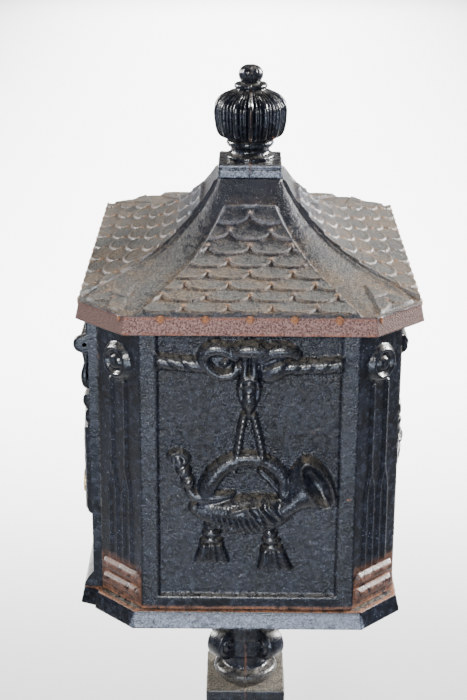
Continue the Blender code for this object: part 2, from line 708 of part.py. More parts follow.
# ------------------------------------------------------------------ door and lock
def make_door():
    """A dished plate with a rim that closes on the frame, a hinge barrel and the horn relief."""
    back = FRAME_FRONT - GAP
    front = FRAME_FRONT - DOOR_PROUD
    x, y = HINGE_AXIS
    section = [(back, -104), (-145.6, -104), (-149.4, -106.4), (-150.8, -112.5), (-149.4, -118.5)]
    section += [(-147, -121.3), (-148.6, -124), (-149.3, -128.5), (-148.4, -133), (-146.2, -136)]
    section += [(-148.8, -138.6), (-149.5, -141.5), (-149.5, -221), (-148, -224.8), (-145, -226)]
    section += [(back, -226)]
    outline = [(a if a == back else a * MM, EAVE_TOP + b * MM) for a, b in section]
    door = slab(outline, -DOOR_HALF, DOOR_HALF, along_x())
    join(
        door,
        cylinder((x, y, DOOR_LOW), (x, y, DOOR_HIGH), HINGE_RADIUS),
        box((x, y - MM, DOOR_LOW), (-DOOR_HALF + MM, y + 3 * MM, DOOR_HIGH)),
    )
    rim = DOOR_RIM + 4 * MM
    border = 11 * MM
    field_low = (-DOOR_HALF + border, front - MM, DOOR_LOW + border)
    cut(door, box(field_low, (DOOR_HALF - border, front + DOOR_RECESS, EAVE_TOP - 147 * MM)))
    join_group(door, horn_shapes(facing(0, -front - 4.5 * MM), 0.8, -38))
    low = (-DOOR_HALF + rim, front + DOOR_SKIN, DOOR_LOW + rim)
    cut(door, box(low, (DOOR_HALF - rim, back + 30 * MM, DOOR_HIGH - rim)))
    lock_x, lock_z = LOCK_CENTRE
    boss = 13 * MM
    join(door, cylinder((lock_x, front - 2 * MM, lock_z), (lock_x, back - GAP, lock_z), boss))
    cut(door, cylinder((x, y, DOOR_LOW - MM), (x, y, DOOR_HIGH + MM), HINGE_PIN_RADIUS + GAP))
    cut(
        door,
        cylinder((lock_x, front - 30 * MM, lock_z), (lock_x, front - 2 * MM, lock_z), 11.5 * MM),
        cylinder((lock_x, front - 5 * MM, lock_z), (lock_x, back + MM, lock_z), LOCK_RADIUS + GAP),
    )
    door = as_mesh(door)
    piece("door", door, IRON_BLACK)
    set_origin(door, (x, y, (DOOR_LOW + DOOR_HIGH) / 2))
    depth = 16 * MM
    below, above = hinge_lug_heights()
    spans = {
        "door_hinge_pin_lower": (below[0], DOOR_LOW + depth),
        "door_hinge_pin_upper": (DOOR_HIGH - depth, above[1]),
    }
    for name, (bottom, top) in spans.items():
        piece(name, cylinder((x, y, bottom), (x, y, top), HINGE_PIN_RADIUS), STEEL)


def make_lock():
    """Barrel with a keyhole, the ring nut behind the door, and the cam that hooks the frame."""
    x, z = LOCK_CENTRE
    front = FRAME_FRONT - DOOR_PROUD - 2 * MM
    back = FRAME_FRONT
    cam_front = back + PANEL_WALL + 0.7 * MM
    cam_back = cam_front + 3 * MM
    barrel = cylinder((x, front - 2 * MM, z), (x, front - GAP, z), 10.5 * MM, sides=24)
    join(barrel, cylinder((x, front - MM, z), (x, cam_front - GAP, z), LOCK_RADIUS, sides=24))
    join(barrel, cylinder((x, cam_front - MM, z), (x, cam_back + 2 * MM, z), 3 * MM))
    keyhole = box((x - 0.8 * MM, front - 3 * MM, z - 4 * MM), (x + 0.8 * MM, front + 5 * MM, z + 4 * MM))
    cut(barrel, keyhole)
    barrel = as_mesh(barrel)
    piece("lock_barrel", barrel, BRASS)
    set_origin(barrel, (x, front, z))
    nut = cylinder((x, back - GAP + 0.6 * MM, z), (x, back + 4 * MM, z), 11 * MM, sides=6)
    cut(nut, cylinder((x, back - MM, z), (x, back + 5 * MM, z), LOCK_RADIUS + GAP, sides=24))
    piece("lock_nut", nut, BRASS)
    cam = box((x - 6 * MM, cam_front, z - CAM_REACH), (x + 6 * MM, cam_back, z))
    join(cam, cylinder((x, cam_front, z), (x, cam_back, z), 6 * MM))
    cut(cam, cylinder((x, cam_front - MM, z), (x, cam_back + MM, z), 3 * MM + GAP))
    cam = as_mesh(cam)
    piece("lock_cam", cam, STEEL)
    set_origin(cam, (x, front, z))


# ------------------------------------------------------------------ roof and finial
def roof_height(climb):
    """Height above the eave at a share of the way in from eave, 0, to plateau, 1."""
    return ROOF_RISE * (0.40 * climb + 0.60 * climb**4)


def roof_ring(climb, inset=0.0):
    """The roof's outline at that share of the climb, or of its inner face a wall thickness in."""
    half = [edge + (PLATEAU_HALF - edge) * climb - inset for edge in ROOF_HALF]
    chamfer = ROOF_CHAMFER + (PLATEAU_CHAMFER - ROOF_CHAMFER) * climb
    return octagon(*half, chamfer, EAVE_TOP + roof_height(climb) - inset)


def make_roof():
    rings = [roof_ring(climb) for climb in (1, 0.92, 0.82, 0.7, 0.56, 0.4, 0.2, 0)]
    fascia = [half + FASCIA_FLARE for half in ROOF_HALF]
    low = EAVE_TOP - FASCIA_HEIGHT
    rings.append(octagon(*fascia, ROOF_CHAMFER + 0.8 * MM, low))
    lip = [half - 5 * MM for half in ROOF_HALF]
    rings.append(octagon(*lip, ROOF_CHAMFER - 2 * MM, low))
    rings.append(octagon(*lip, ROOF_CHAMFER - 2 * MM, ROOF_SEAT))
    ledge = [half - 28 * MM for half in ROOF_HALF]
    rings.append(octagon(*ledge, ROOF_CHAMFER - 6 * MM, ROOF_SEAT))
    rings += [roof_ring(climb, ROOF_WALL) for climb in (0.2, 0.4, 0.56, 0.7, 0.82, 0.92)]
    roof = loft(rings)
    boss_low, boss_high = ROOF_SEAT - 10 * MM, EAVE_TOP + 6 * MM
    for x, y in corners_of(CORNER_ROD):
        join(roof, cylinder((x, y, boss_low), (x, y, boss_high), CORNER_BOSS_RADIUS))
        hole_top = EAVE_TOP - 3 * MM
        cut(roof, cylinder((x, y, boss_low - MM), (x, y, hole_top), CORNER_ROD_RADIUS + GAP))
    top = EAVE_TOP + ROOF_RISE
    cut(roof, cylinder((0, 0, top - 40 * MM), (0, 0, top + MM), CORNER_ROD_RADIUS + 0.5 * MM))
    return piece("roof", roof, IRON_DUSTY, smooth=False)


def make_corner_rods():
    boss_end = EAVE_TOP - 4 * MM
    under_floor = FLOOR_TOP - FLOOR_THICK
    for number, (x, y) in enumerate(corners_of(CORNER_ROD), 1):
        low = under_floor - NUT_HEIGHT - 3.5 * MM
        rod = cylinder((x, y, low), (x, y, boss_end), CORNER_ROD_RADIUS, sides=16)
        piece(f"corner_rod_{number}", rod, STEEL)
        nut_low = (x, y, under_floor - GAP - NUT_HEIGHT)
        nut = hex_nut(nut_low, NUT_RADIUS, NUT_HEIGHT, CORNER_ROD_RADIUS + GAP)
        piece(f"corner_nut_{number}", nut, STEEL)


def make_finial():
    """Square base, ringed neck, flattened ball, collar and knob, cast in one."""
    base_low = EAVE_TOP + ROOF_RISE + GAP
    base_high = base_low + FINIAL_BASE_HEIGHT
    upper = [(0, 175.1), (5.5, 174.4), (9.2, 171.5), (10.9, 166.6), (10.2, 161.5), (8.4, 158.4)]
    upper += [(14.6, 158), (15, 155.9), (14.4, 153.8), (12, 152), (20, 151), (29, 145.2)]
    upper += [(33, 139), (34.2, 133.7), (32.8, 125), (28.4, 115.5), (23, 109), (19.5, 107.6)]
    upper += [(21.2, 106.4), (21.2, 102.8), (18.2, 100), (17.6, 97.6), (19, 94), (23, 92)]
    upper += [(23, 82), (0, 82)]
    finial = turned([(radius * MM, EAVE_TOP + rise * MM) for radius, rise in upper], 18)
    half = FINIAL_HALF
    join(finial, box((-half, -half, base_low), (half, half, base_high)))
    stud_top = EAVE_TOP + 110 * MM
    cut(finial, cylinder((0, 0, base_low - MM), (0, 0, stud_top + MM), CORNER_ROD_RADIUS + GAP))
    piece("finial", finial, IRON_BLACK)
    ceiling = EAVE_TOP + roof_height(0.92) - ROOF_WALL
    nut_low = ceiling - GAP - NUT_HEIGHT
    stud = cylinder((0, 0, nut_low - 3 * MM), (0, 0, stud_top), CORNER_ROD_RADIUS, sides=16)
    piece("finial_stud", stud, STEEL)
    nut = hex_nut((0, 0, nut_low), NUT_RADIUS, NUT_HEIGHT, CORNER_ROD_RADIUS + GAP)
    piece("finial_nut", nut, STEEL)


def build():
    make_ground_plate()
    make_column_foot()
    make_column_shaft()
    make_column_capital()
    make_tie_rod()
    make_box_floor()
    make_side_panel("side_panel_right", 1)
    make_side_panel("side_panel_left", 3)
    make_back_panel()
    make_front_frame()
    make_slot_hood()
    make_slot_flap()
    make_hood_screws()
    make_door()
    make_lock()
    make_roof()
    make_corner_rods()
    make_finial()


build()
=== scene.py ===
"""The looks of a cast-iron pedestal post box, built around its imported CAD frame.

Castings are dense closed meshes whose reliefs come from height functions in millimetres. In a
relief, u runs to the viewer's right and v up from the roof's lower edge.
"""

import json
import math

import bmesh
import bpy
import numpy as np
from mathutils import Matrix, Vector


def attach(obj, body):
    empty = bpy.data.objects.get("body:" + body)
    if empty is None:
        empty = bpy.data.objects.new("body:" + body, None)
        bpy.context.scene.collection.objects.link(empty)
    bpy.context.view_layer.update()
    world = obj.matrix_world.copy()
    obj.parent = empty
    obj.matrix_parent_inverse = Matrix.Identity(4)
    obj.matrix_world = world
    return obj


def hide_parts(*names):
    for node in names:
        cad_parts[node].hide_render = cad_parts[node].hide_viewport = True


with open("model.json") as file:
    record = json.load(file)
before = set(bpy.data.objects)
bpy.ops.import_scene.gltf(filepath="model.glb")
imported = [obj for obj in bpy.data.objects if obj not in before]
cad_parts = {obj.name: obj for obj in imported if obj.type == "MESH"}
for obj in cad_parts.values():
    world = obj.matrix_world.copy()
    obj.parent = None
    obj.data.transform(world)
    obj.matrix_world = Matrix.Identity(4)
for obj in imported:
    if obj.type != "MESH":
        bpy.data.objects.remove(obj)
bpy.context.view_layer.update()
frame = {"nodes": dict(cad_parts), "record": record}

MM = 0.001
EAVE = 1025.0
FLOOR_TOP = EAVE - 283.7
ROOF_SEAT = EAVE - 11.7
GAP = 0.3

BODY_HALF = (184.0, 133.5)
BODY_CHAMFER = 39.5
WALL = 7.0
PANEL_WALL = 6.0
FIELD_DEPTH = 3.5
FRAME_FRONT = -BODY_HALF[1] - 8.0

# The recessed field of the panels; heights here and in the reliefs are measured from the eave.
FIELD_HALF = 78.7
FIELD_LOW, FIELD_HIGH = -271.0, -20.0
RUST_HIGH, RUST_LOW = -279.5, -282.5


# ------------------------------------------------------------------ numbers
def unit(value):
    return np.clip(value, 0, 1)


def fade(value, low, high):
    """Smoothly from 0 at low to 1 at high, which may be the lower number."""
    t = unit((value - low) / (high - low))
    return t * t * (3 - 2 * t)


def arch(x):
    """Height of a unit circle above its diameter."""
    return np.sqrt(unit(1 - x**2))


def hump(x):
    return np.exp(-(x**2))


def soft_max(a, b, width):
    return 0.5 * (a + b + np.sqrt((a - b) ** 2 + width * width))


def frac(value):
    return value - np.floor(value)


def groove(phase, width):
    """1 in the middle of each turn of phase and 0 away from it."""
    return hump((frac(phase) - 0.5) / width)


def lattice(u, v, size, seed):
    """Smooth random values from -1 to 1 that change over the given size."""
    table = np.random.default_rng(seed).uniform(-1, 1, (64, 64))
    x, y = u / size, v / size
    i, j = np.floor(x).astype(int), np.floor(y).astype(int)
    s, t = fade(x - i, 0, 1), fade(y - j, 0, 1)
    low = table[i % 64, j % 64] * (1 - s) + table[(i + 1) % 64, j % 64] * s
    high = table[i % 64, (j + 1) % 64] * (1 - s) + table[(i + 1) % 64, (j + 1) % 64] * s
    return low * (1 - t) + high * t


def casting(u, v, seed, grit=0.0):
    """Unevenness of a sand casting, in millimetres; grit adds a coarse sandy grain."""
    even = 0.22 * lattice(u, v, 31, seed) + 0.12 * lattice(u, v, 9, seed + 1)
    fine = 0.10 * lattice(u, v, 3.6, seed + 2) + 0.10 * lattice(u, v, 1.9, seed + 3)
    pits = unit(lattice(u, v, 2.6, seed + 4) - 0.35)
    return even + fine + grit * (0.5 * lattice(u, v, 2.3, seed + 5) - 0.7 * pits)


def blur(values, rows, columns):
    """Blurs an array by that many samples along each axis."""
    for axis, sigma in ((0, rows), (1, columns)):
        if sigma <= 0:
            continue
        reach = max(1, int(3 * sigma))
        kernel = np.exp(-0.5 * (np.arange(-reach, reach + 1) / sigma) ** 2)
        kernel /= kernel.sum()
        pad = [(0, 0)] * values.ndim
        pad[axis] = (reach, reach)
        padded = np.pad(values, pad, mode="edge")
        count = values.shape[axis]
        values = sum(
            weight * np.take(padded, range(k, k + count), axis=axis)
            for k, weight in enumerate(kernel)
        )
    return values


def lines(*stops):
    """Coordinates from stop to stop; each stop after the first comes with the spacing up to it."""
    out = [stops[0]]
    for (end, step), start in zip(stops[1:], [stops[0]] + [s[0] for s in stops[1:-1]]):
        count = max(1, round((end - start) / step))
        out += list(start + (end - start) * np.arange(1, count + 1) / count)
    return np.array(out, float)


def curve(points, steps=5):
    """A smooth path through points of any number of coordinates."""
    p = [np.array(q, float) for q in [points[0], *points, points[-1]]]
    out = []
    for a, b, c, d in zip(p, p[1:], p[2:], p[3:]):
        for k in range(steps):
            t = k / steps
            out.append(
                0.5
                * (
                    2 * b
                    + (c - a) * t
                    + (2 * a - 5 * b + 4 * c - d) * t**2
                    + (3 * b - a - 3 * c + d) * t**3
                )
            )
    return np.array(out + [p[-1]])


# ------------------------------------------------------------------ relief shapes
OUTSIDE = -9.0


def bar(u, v, path, lift=0.0, rise=None, flat=1.0):
    """A round bar along a path of (u, v, radius): its height, and places along and across it."""
    shape = u.shape
    best, radius = np.full(shape, 9e9), np.ones(shape)
    along, across = np.zeros(shape), np.zeros(shape)
    travelled = 0.0
    for (u0, v0, r0), (u1, v1, r1) in zip(path, path[1:]):
        du, dv = u1 - u0, v1 - v0
        length = math.hypot(du, dv) or 1e-9
        t = unit(((u - u0) * du + (v - v0) * dv) / length**2)
        r = r0 + (r1 - r0) * t
        d = np.hypot(u - u0 - t * du, v - v0 - t * dv) / r
        near = d < best
        side = np.sign(du * (v - v0) - dv * (u - u0))
        best, radius = np.where(near, d, best), np.where(near, r, radius)
        along = np.where(near, travelled + t * length, along)
        across = np.where(near, side * d, across)
        travelled += length
    tall = flat * radius if rise is None else rise
    height = np.where(best < 1, lift + tall * arch(best), OUTSIDE)
    return height, along, across


def dome(u, v, centre, radii, angle=0.0, lift=0.0, rise=5.0):
    """A rounded oval bump, and the share of the way from its middle to its edge."""
    c, s = math.cos(math.radians(angle)), math.sin(math.radians(angle))
    a = ((u - centre[0]) * c + (v - centre[1]) * s) / radii[0]
    b = (-(u - centre[0]) * s + (v - centre[1]) * c) / radii[1]
    q = np.hypot(a, b)
    return np.where(q < 1, lift + rise * arch(q), OUTSIDE), q


def put(height, shape, soft=0.7):
    return np.where(shape > OUTSIDE / 2, soft_max(height, shape, soft), height)


def add_bar(height, u, v, points, lift):
    return put(height, bar(u, v, curve(points), lift)[0])


def add_dome(height, u, v, centre, radii, angle, lift, rise, soft=0.7):
    return put(height, dome(u, v, centre, radii, angle, lift, rise)[0], soft)


def ridge(u, v, path, tall, width):
    """A narrow raised line along a path of (u, v)."""
    shape, _, across = bar(u, v, [(a, b, 3 * width) for a, b in path])
    return np.where(shape > OUTSIDE / 2, tall * hump(across * 3), 0)


def horn_relief(u, v):
    """The post horn: its loop, mouthpiece, wrapped belly and bell."""
    h = np.zeros_like(u)
    loop = [(-39, -176, 6), (-36, -163, 8), (-28, -149, 8.2), (-15, -138.5, 7.4)]
    loop += [(-1, -135, 6.8), (13, -137, 6.2), (24.5, -145, 5.6), (31, -156, 5.4), (31.5, -170, 5.6)]
    shape, _, across = bar(u, v, curve(loop), 3)
    h = put(h, np.where(shape > 0, shape + 1.6 * unit(-across) ** 2, shape))
    inner, _, across = bar(u, v, curve([(11, -147.5, 3), (19, -155.5, 3.3), (27, -166, 3)]), 3.5)
    h = put(h, np.where(inner > 0, inner - 1.6 * hump(across / 0.28), inner))

    pipe = [(-60, -139, 5.0), (-58.6, -143, 3.0), (-56.6, -147.5, 5.9), (-54.8, -152.3, 2.9)]
    pipe += [(-52.8, -157.3, 6.0), (-52.2, -163, 3.4), (-50, -168, 4.6), (-45, -171.5, 5.2)]
    pipe += [(-36, -172.5, 5.6), (-26, -172, 5), (-17, -170.5, 3.4), (-13, -169.5, 2)]
    h = add_bar(h, u, v, pipe, 4.5)
    h = add_bar(h, u, v, [(-42, -180, 2.6), (-28, -179.5, 3), (-17, -177.5, 2.6)], 6)
    h = add_bar(h, u, v, [(-43, -186, 2.8), (-30, -185, 3.2), (-18, -182.5, 2.6)], 6)
    cup, q = dome(u, v, (-61, -135), (9.8, 7.4), -6, 5.5, 4.5)
    cup = np.where(q < 0.66, 7.0 + 1.6 * unit(1 - (q / 0.34) ** 2), cup)
    h = put(h, cup, 0.5)

    belly = [(-47, -183, 5), (-37, -186.5, 9), (-25, -189, 13.5), (-10, -190, 18), (5, -189, 19)]
    belly += [(18, -186.5, 16.5), (27, -184.5, 12.5), (34, -182, 9.5)]
    shape, along, across = bar(u, v, curve(belly), 4.5, flat=0.62)
    wraps = groove((along + 7.0 * across) / 4.9, 0.2) * fade(across, 0.22, 0.05)
    wraps *= fade(along, 14, 20) * fade(along, 66, 58)
    shape = np.where(shape > 0, shape - 2.4 * wraps, shape)
    h = put(h, shape)
    h += ridge(u, v, [(-15, -182.5), (-2, -178.5), (11, -176.5)], 2.2, 1.3)
    for path in ([(0, -181), (13, -196)], [(10, -179), (22, -192.5)], [(18, -177.5), (29, -188.5)]):
        h += ridge(u, v, path, 2.6, 2.0)

    bell = [(31, -183, 9), (37, -178.5, 9.4), (43, -173.5, 11), (48, -169, 14.2)]
    bell += [(52.5, -164.5, 17.5), (56.5, -160.5, 22.5), (59, -158, 25.5)]
    shape = bar(u, v, curve(bell), 4, rise=9.5)[0]
    along_mouth = (u - 60) * 0.475 - (v + 157.0) * 0.88
    out_of_mouth = (u - 60) * 0.88 + (v + 157.0) * 0.475
    h = put(h, np.where(out_of_mouth < 1, shape, OUTSIDE))
    q = np.hypot(along_mouth / 26.6, out_of_mouth / 11.8)
    bowl = 4.5 + 10.5 * unit(q / 0.84) ** 2.6
    rim = 15.4 - 4.5 * unit((q - 0.90) / 0.10) ** 2
    return np.where(q < 1, np.where(q < 0.84, bowl, rim), h)


def tassel_relief(u, v):
    """Two twisted cords that the horn hangs from, and its two tassels."""
    h = np.zeros_like(u)
    for path in (
        [(-4.4, -95), (-7.5, -113), (-10, -130), (-13, -147)],
        [(4, -95), (7.5, -110), (10.5, -124), (12, -134)],
    ):
        cord, along, across = bar(u, v, curve([(a, b, 2.9) for a, b in path]), 7)
        twist = groove(along / 4.9 + 0.35 * across, 0.2)
        h = put(h, np.where(cord > 0, cord - 1.6 * twist, cord), 0.4)
    for centre, top, lean in ((-32.5, -199, 0.02), (19.5, -206, 0.13)):
        x = u - centre - lean * (top - v)
        h = put(h, bar(x, v, [(0, top + 4, 4.2), (0, top - 14, 5.4)], 2, rise=5.0)[0])
        for down, half_width, half_height in ((1.0, 6.4, 3.6), (8.0, 8.2, 3.8), (15.0, 10.0, 3.2)):
            place, halves = (0, top - down), (half_width, half_height)
            h = put(h, dome(x, v + 0.012 * x * x, place, halves, 0, 3.4, 5.2)[0], 0.4)
        half = 10.6 + 4.6 * fade(top - v, 19, 38)
        across = x / half
        folds = 1.9 * hump((abs(across) - 0.42) / 0.13) + 1.6 * hump(across / 0.10)
        skirt = 2.5 + 6.0 * arch(across) - folds
        edge = top - 36.0 - 1.3 * abs(x) / 10
        inside = (abs(across) < 1) & (v < top - 18.2) & (v > edge)
        h = put(h, np.where(inside, skirt, OUTSIDE))
    return h


def bow_relief(u, v, reach=FIELD_HALF):
    """A rope bar with a bow tied on it, and the drop that hangs from the bow."""
    h = np.zeros_like(u)
    for side, end_v, near_v in ((-1, -45.5, -51.5), (1, -47.5, -51.5)):
        middle, near = (side * 60, end_v - 2.5, 7.6), (side * 12, near_v, 7.6)
        path = curve([(side * (reach + 6), end_v, 7.4), middle, near])
        rope, along, across = bar(u, v, path, 1)
        twist = groove((along - side * 6.5 * across) / 12.5, 0.10)
        lower = 0.25 + 0.75 * fade(side * across, -0.4, 0.1)
        h = put(h, np.where(rope > 0, rope - 2.3 * twist * lower, rope))
    left = [(-12, -41, 5), (-22, -34.5, 6.4), (-33, -34.5, 6.6), (-39.5, -42, 5.4)]
    left += [(-36, -51, 4.8), (-27, -57.5, 4.8), (-16, -57.5, 4.6), (-9, -51, 4)]
    h = np.where(np.hypot((u + 24) / 11, (v + 46) / 9) < 1, 1.5, h)
    h = add_bar(h, u, v, left, 4.5)
    h = add_dome(h, u, v, (-21, -47.5), (5, 3.4), 30, 2, 4)
    right = [(10, -43, 4.5), (20, -36, 6.6), (32, -35, 6.6), (40.5, -39.5, 4)]
    h = add_dome(h, u, v, (21.5, -52.5), (15, 10.5), 38, 3, 7.5)
    h = add_bar(h, u, v, right, 4.5)
    h -= ridge(u, v, [(13, -50), (24, -45), (35, -42.5)], 3.5, 1.2)
    h = add_dome(h, u, v, (1, -34), (17.5, 7.4), 0, 7.5, 6.5, soft=0.3)
    for x in (-4, 4):
        h = add_bar(h, u, v, [(x, -41, 3.6), (x * 0.9, -49, 3.2), (x * 1.1, -59, 4.0)], 6.5)

    low, high, widest = -97.5, -55.5, -71.0
    up = unit((v - widest) / (high - widest))
    down = unit((widest - v) / (widest - low))
    half = 10.2 * np.sqrt(1 - up**2) * (1 - down**1.7) + 1e-3
    q = abs(u) / half
    inside = (v > low) & (v < high) & (q < 1)
    drop = np.where(inside, 4.5 + 5.5 * arch(q), OUTSIDE)
    drop = np.where(inside, drop - 2.2 * hump((q - 0.62) / 0.16), drop)
    h = put(h, drop)
    h = add_dome(h, u, v, (0, -80.0), (5.4, 9.4), 0, 8.5, 4.5, soft=0.2)
    for top in (-64.0, -58.5):
        h += ridge(u, v, [(-8, top - 3.5), (0, top), (8, top - 3.5)], 1.8, 1.0) * (abs(u) < half)
    return h


def scaled(relief, u, v, scale, drop, **options):
    return scale * relief(u / scale, (v - drop) / scale, **options)


def pilaster_relief(p, v):
    """Rosette, flutes and base rolls on a chamfered corner; p runs across it from its middle."""
    h = np.zeros_like(p)
    centre = -53.0
    r = np.hypot(p, v - centre)
    disc = np.where(r < 17.4, 3.2 * np.sqrt(unit(1 - (r / 17.4) ** 6)), 0)
    disc += np.where(r < 17.4, 2.6 * hump((r - 12.6) / 2.6), 0)
    disc -= 1.6 * hump((r - 8.2) / 1.3)
    disc += 2.8 * arch(r / 6.6)
    disc -= 1.2 * hump(r / 1.6)
    h = np.maximum(h, disc)
    for inner, outer in ((-4.5, -13.5), (4.5, 13.5)):
        joint = (inner + outer) / 2
        for foot in (inner, outer):
            path = [(joint, -72), (joint, -150), (joint + (foot - joint) * 0.25, -158)]
            path += [(joint + (foot - joint) * 0.8, -168), (foot, -178), (foot, -246)]
            spine = bar(p, v, [(a, b, 2.6) for a, b in path], 0, rise=2.9)[0]
            h = np.maximum(h, np.where(spine > OUTSIDE / 2, spine, 0))
    channel = fade(abs(p), 18.5, 17.0) * fade(v, -249, -247) * fade(v, -70, -73)
    h = h - 1.1 * channel
    for middle in (-255.5, -270.3):
        roll = 4.6 * arch((v - middle) / 5.6)
        h = np.maximum(h, roll * fade(abs(p), 24.5, 21.5))
    return h


# ------------------------------------------------------------------ meshes
class Shell:
    """Grids and faces in millimetres, welded into one closed mesh at the end."""

    def __init__(self):
        self.points, self.faces, self.fields, self.count = [], [], [], 0

    def grid(self, points, flip=False, closed=False, **fields):
        """Adds a (rows, columns, 3) grid; closed joins its last column to its first."""
        rows, columns = points.shape[:2]
        number = np.arange(rows * columns).reshape(rows, columns) + self.count
        nxt = np.roll(number, -1, axis=1) if closed else number[:, 1:]
        now = number if closed else number[:, :-1]
        quads = np.stack([now[:-1], nxt[:-1], nxt[1:], now[1:]], -1).reshape(-1, 4)
        self.faces += (quads[:, ::-1] if flip else quads).tolist()
        self.add(points.reshape(-1, 3), fields)
        return number

    def add(self, points, fields=None):
        self.points.append(np.array(points, float))
        amount = len(points)
        spread = {k: np.broadcast_to(x, np.shape(x) or amount) for k, x in (fields or {}).items()}
        self.fields.append({k: x.ravel() for k, x in spread.items()})
        self.count += amount

    def polygon(self, points, flip=False):
        start = self.count
        self.add(points)
        order = list(range(start, self.count))
        self.faces.append(order[::-1] if flip else order)

    def loop(self, rings, flip=False, **fields):
        """Joins closed rings of the same count, and caps the first and last with a face."""
        rings = np.array(rings, float)
        self.grid(rings, flip=flip, closed=True, **fields)
        self.polygon(rings[0], flip=not flip)
        self.polygon(rings[-1], flip=flip)

    def build(self, name, node, material, body="root", turn=None, sharp=55):
        """Makes the object, stands it for its CAD node and sets its facts."""
        mesh = bpy.data.meshes.new(name)
        points = np.concatenate(self.points) * MM
        if turn is not None:
            points = points @ np.array(turn.to_3x3()).T + np.array(turn.translation)
        mesh.from_pydata(points.tolist(), [], self.faces)
        for field in sorted({k for f in self.fields for k in f}):
            parts = [f.get(field, np.zeros(len(p))) for f, p in zip(self.fields, self.points)]
            layer = mesh.attributes.new(field, "FLOAT", "POINT")
            layer.data.foreach_set("value", np.concatenate(parts).astype(np.float32))
        shape = bmesh.new()
        shape.from_mesh(mesh)
        bmesh.ops.remove_doubles(shape, verts=shape.verts, dist=0.000004)
        bmesh.ops.dissolve_degenerate(shape, dist=0.000001, edges=shape.edges)
        bmesh.ops.recalc_face_normals(shape, faces=shape.faces)
        shape.to_mesh(mesh)
        shape.free()
        mesh.materials.append(material)
        mesh.shade_smooth()
        mesh.set_sharp_from_angle(angle=math.radians(sharp))
        made = bpy.data.objects.new(name, mesh)
        bpy.context.scene.collection.objects.link(made)
        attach(made, body)
        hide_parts(node)


def sculpt_fields(height, spacing):
    """How hollow and how proud each point of a relief is, from 0 to 1."""
    wide = blur(height, 4.5 / spacing, 4.5 / spacing)
    return {"hollow": unit((wide - height) / 3.0), "proud": unit((height - wide) / 3.0)}


def plate_solid(shell, front, back_left, back_right, low, high):
    """Closes a relief grid (rows go up) with a plain back between two plan points per column."""
    shell.grid(np.stack([low, front[0]]))
    shell.grid(np.stack([front[-1], high]))
    shell.grid(np.stack([high, low]))
    shell.polygon([back_left[0], *front[:, 0], back_left[1]])
    shell.polygon([back_right[0], *front[:, -1], back_right[1]])


def side_outline(s):
    """Plan point and outward normal at a place along a side wall's outer face."""
    half_x, half_y = BODY_HALF
    flat = half_y - BODY_CHAMFER
    over = np.clip(abs(s) - flat, 0, None) / math.sqrt(2)
    x = half_x - over
    y = np.sign(s) * np.minimum(abs(s), flat) + np.sign(s) * over
    tilt = fade(abs(s), flat - 1.2, flat + 1.2) * math.pi / 4 * np.sign(s)
    return x, y, np.cos(tilt), np.sin(tilt)


def side_inner(s):
    """Plan point on the inner face behind the same place."""
    half_x, half_y = BODY_HALF
    flat = half_y - BODY_CHAMFER
    length = BODY_CHAMFER * math.sqrt(2)
    slant = WALL * math.sqrt(2)
    inner_x = half_x - WALL
    inner_y = half_x + half_y - BODY_CHAMFER - slant - inner_x
    share = unit((abs(s) - flat) / length)
    x = inner_x + (half_x - BODY_CHAMFER - inner_x) * share
    y = unit(abs(s) / flat) * inner_y + (half_y - slant - inner_y) * share
    return x, np.sign(s) * y


def field_rows(v):
    """1 between the lower and upper edges of a panel's field."""
    return fade(v, FIELD_LOW - 0.7, FIELD_LOW + 0.7) * fade(v, FIELD_HIGH + 0.7, FIELD_HIGH - 0.7)


